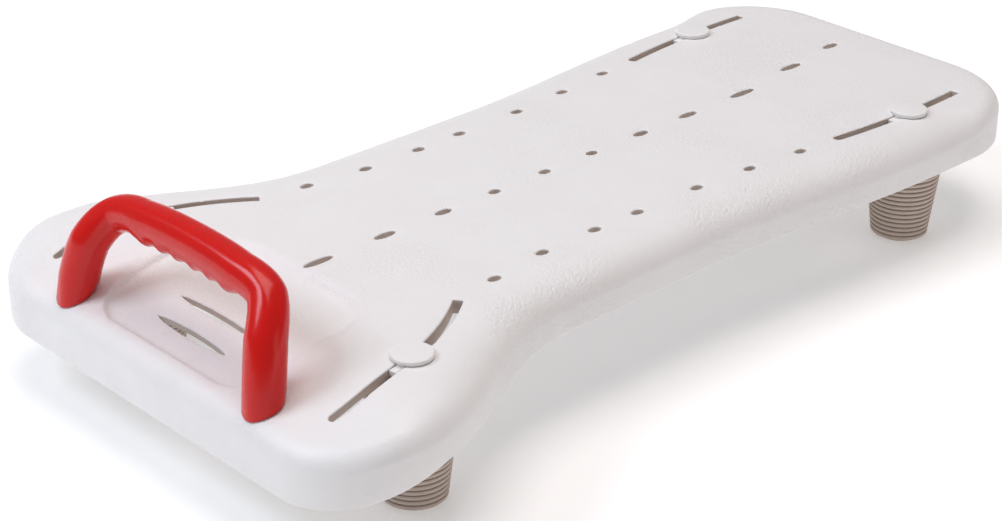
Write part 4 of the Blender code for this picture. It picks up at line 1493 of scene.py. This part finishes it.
@dataclass
class Fittings:
    """The frame's own solids that show as they are: saddles, studs, cores, nuts and handle fixings."""

    frame: dict
    finishes: Finishes

    def dress(self) -> list[str]:
        """Gives each solid its material.

        Returns:
            The names of the dressed nodes.
        """
        wear = {
            "clamp_saddle": self.finishes.core,
            "clamp_stud": self.finishes.thread,
            "foot_core": self.finishes.core,
            "foot_nut": self.finishes.steel,
            "handle_screw": self.finishes.steel,
            "handle_washer": self.finishes.steel,
            "handle_insert": self.finishes.brass,
        }
        dressed = []
        for name, node in self.frame["nodes"].items():
            for start, material in wear.items():
                if name.startswith(start):
                    node.data.materials.clear()
                    node.data.materials.append(material)
                    dressed.append(name)
        return dressed


# ---------------------------------------------------------------------------------------------------
# Floor, light and camera


@dataclass
class Studio:
    """A plain pale floor, soft light from the wide end and a camera at the corner by the handle."""

    floor_reach: float = 12.0
    glow_near: Colour = (0.29, 0.29, 0.29)
    glow_far: Colour = (0.8, 0.8, 0.8)
    glow_start: float = 0.9
    glow_run: float = 2.5
    lit: Place = (-0.15, 0.0, 0.08)
    eye: Place = (-1.0229, -1.0230, 0.7570)
    target: Place = (-0.1311, -0.0769, 0.0956)
    roll: float = 0.190
    lens: float = 83.23

    def floor(self) -> None:
        """Lays the floor, which glows more with distance so that it fades to white."""
        shape = Shape()
        reach = self.floor_reach
        corners = [(-reach, -reach, 0), (reach, -reach, 0), (reach, reach, 0), (-reach, reach, 0)]
        shape.faces.append(tuple(shape.ring(corners)))
        floor = shape.made("studio_floor", None)
        material = bpy.data.materials.new("pale_floor")
        material.use_nodes = True
        shader = material.node_tree.nodes["Principled BSDF"]
        shader.inputs["Base Color"].default_value = (0.86, 0.86, 0.86, 1.0)
        shader.inputs["Roughness"].default_value = 0.9
        shader.inputs["Specular IOR Level"].default_value = 0.1
        shader.inputs["Emission Strength"].default_value = 1.0
        graph = Graph(material.node_tree)
        place = graph.node("ShaderNodeTexCoord", output="Object")
        away = graph.node("ShaderNodeVectorMath", {"operation": "LENGTH"}, {0: place}, output="Value")
        share = ((away - self.glow_start) / self.glow_run).limited(0.0, 1.0)
        glow = Finish.blend(graph, share, self.glow_near, self.glow_far)
        graph.feed(shader.inputs["Emission Color"], glow)
        floor.data.materials.append(material)

    @staticmethod
    def _lamp(name: str, place: Place, target: Place, size: float, power: float, colour: Colour) -> None:
        """Hangs one square lamp that faces a target."""
        light = bpy.data.lights.new(name, "AREA")
        light.size = size
        light.energy = power
        light.color = colour
        lamp = bpy.data.objects.new(name, light)
        lamp.location = place
        lamp.rotation_mode = "QUATERNION"
        lamp.rotation_quaternion = (Vector(target) - Vector(place)).to_track_quat("-Z", "Y")
        bpy.context.scene.collection.objects.link(lamp)

    def light(self) -> None:
        """Sets the lamps and the plain surroundings."""
        scene = bpy.context.scene
        world = bpy.data.worlds.new("soft_room")
        world.use_nodes = True
        back = world.node_tree.nodes["Background"]
        back.inputs["Color"].default_value = (0.98, 0.98, 1.0, 1.0)
        back.inputs["Strength"].default_value = 0.25
        scene.world = world
        scene.view_settings.view_transform = "Standard"
        self._lamp("key", (-1.6, 1.1, 1.9), self.lit, 1.1, 28.0, (0.89, 0.985, 1.12))
        self._lamp("top", (0.3, 0.2, 3.0), self.lit, 2.2, 50.0, (1.07, 0.99, 0.96))
        self._lamp("fill", (0.5, -2.3, 0.40), self.lit, 1.2, 4.0, (1.0, 0.80, 0.75))

    def camera(self) -> None:
        """Places the camera."""
        data = bpy.data.cameras.new("camera")
        data.lens = self.lens
        data.sensor_width = 36.0
        camera = bpy.data.objects.new("camera", data)
        camera.location = self.eye
        camera.rotation_mode = "QUATERNION"
        look = (Vector(self.target) - Vector(self.eye)).to_track_quat("-Z", "Y")
        camera.rotation_quaternion = look @ Quaternion((0.0, 0.0, 1.0), math.radians(self.roll))
        bpy.context.scene.collection.objects.link(camera)
        bpy.context.scene.camera = camera


def main() -> None:
    """Builds the bench over its frame."""
    logging.basicConfig(level=logging.INFO, format="%(message)s")
    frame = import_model()
    finishes = Finishes.mixed(RibbedFoot.pitch, RibbedFoot.first)
    board = SeatBoard(finishes)
    pieces = [board.build(), GrabHandle(finishes, board.wide_edge_z).build()]
    tree = RibbedFoot.rib_tree(finishes.rubber)
    for corner, (_, arc) in zip(CORNERS, board.slots):
        pieces.append(ClampCap(corner, arc, finishes).build())
        pieces.append(RibbedFoot(corner, finishes).build(tree))
    for piece in pieces:
        log.info("%s: %d faces", piece.name, len(piece.data.polygons))
    log.info("dressed %d solids of the frame", len(Fittings(frame, finishes).dress()))
    studio = Studio()
    studio.floor()
    studio.light()
    studio.camera()


if __name__ == "__main__":
    main()
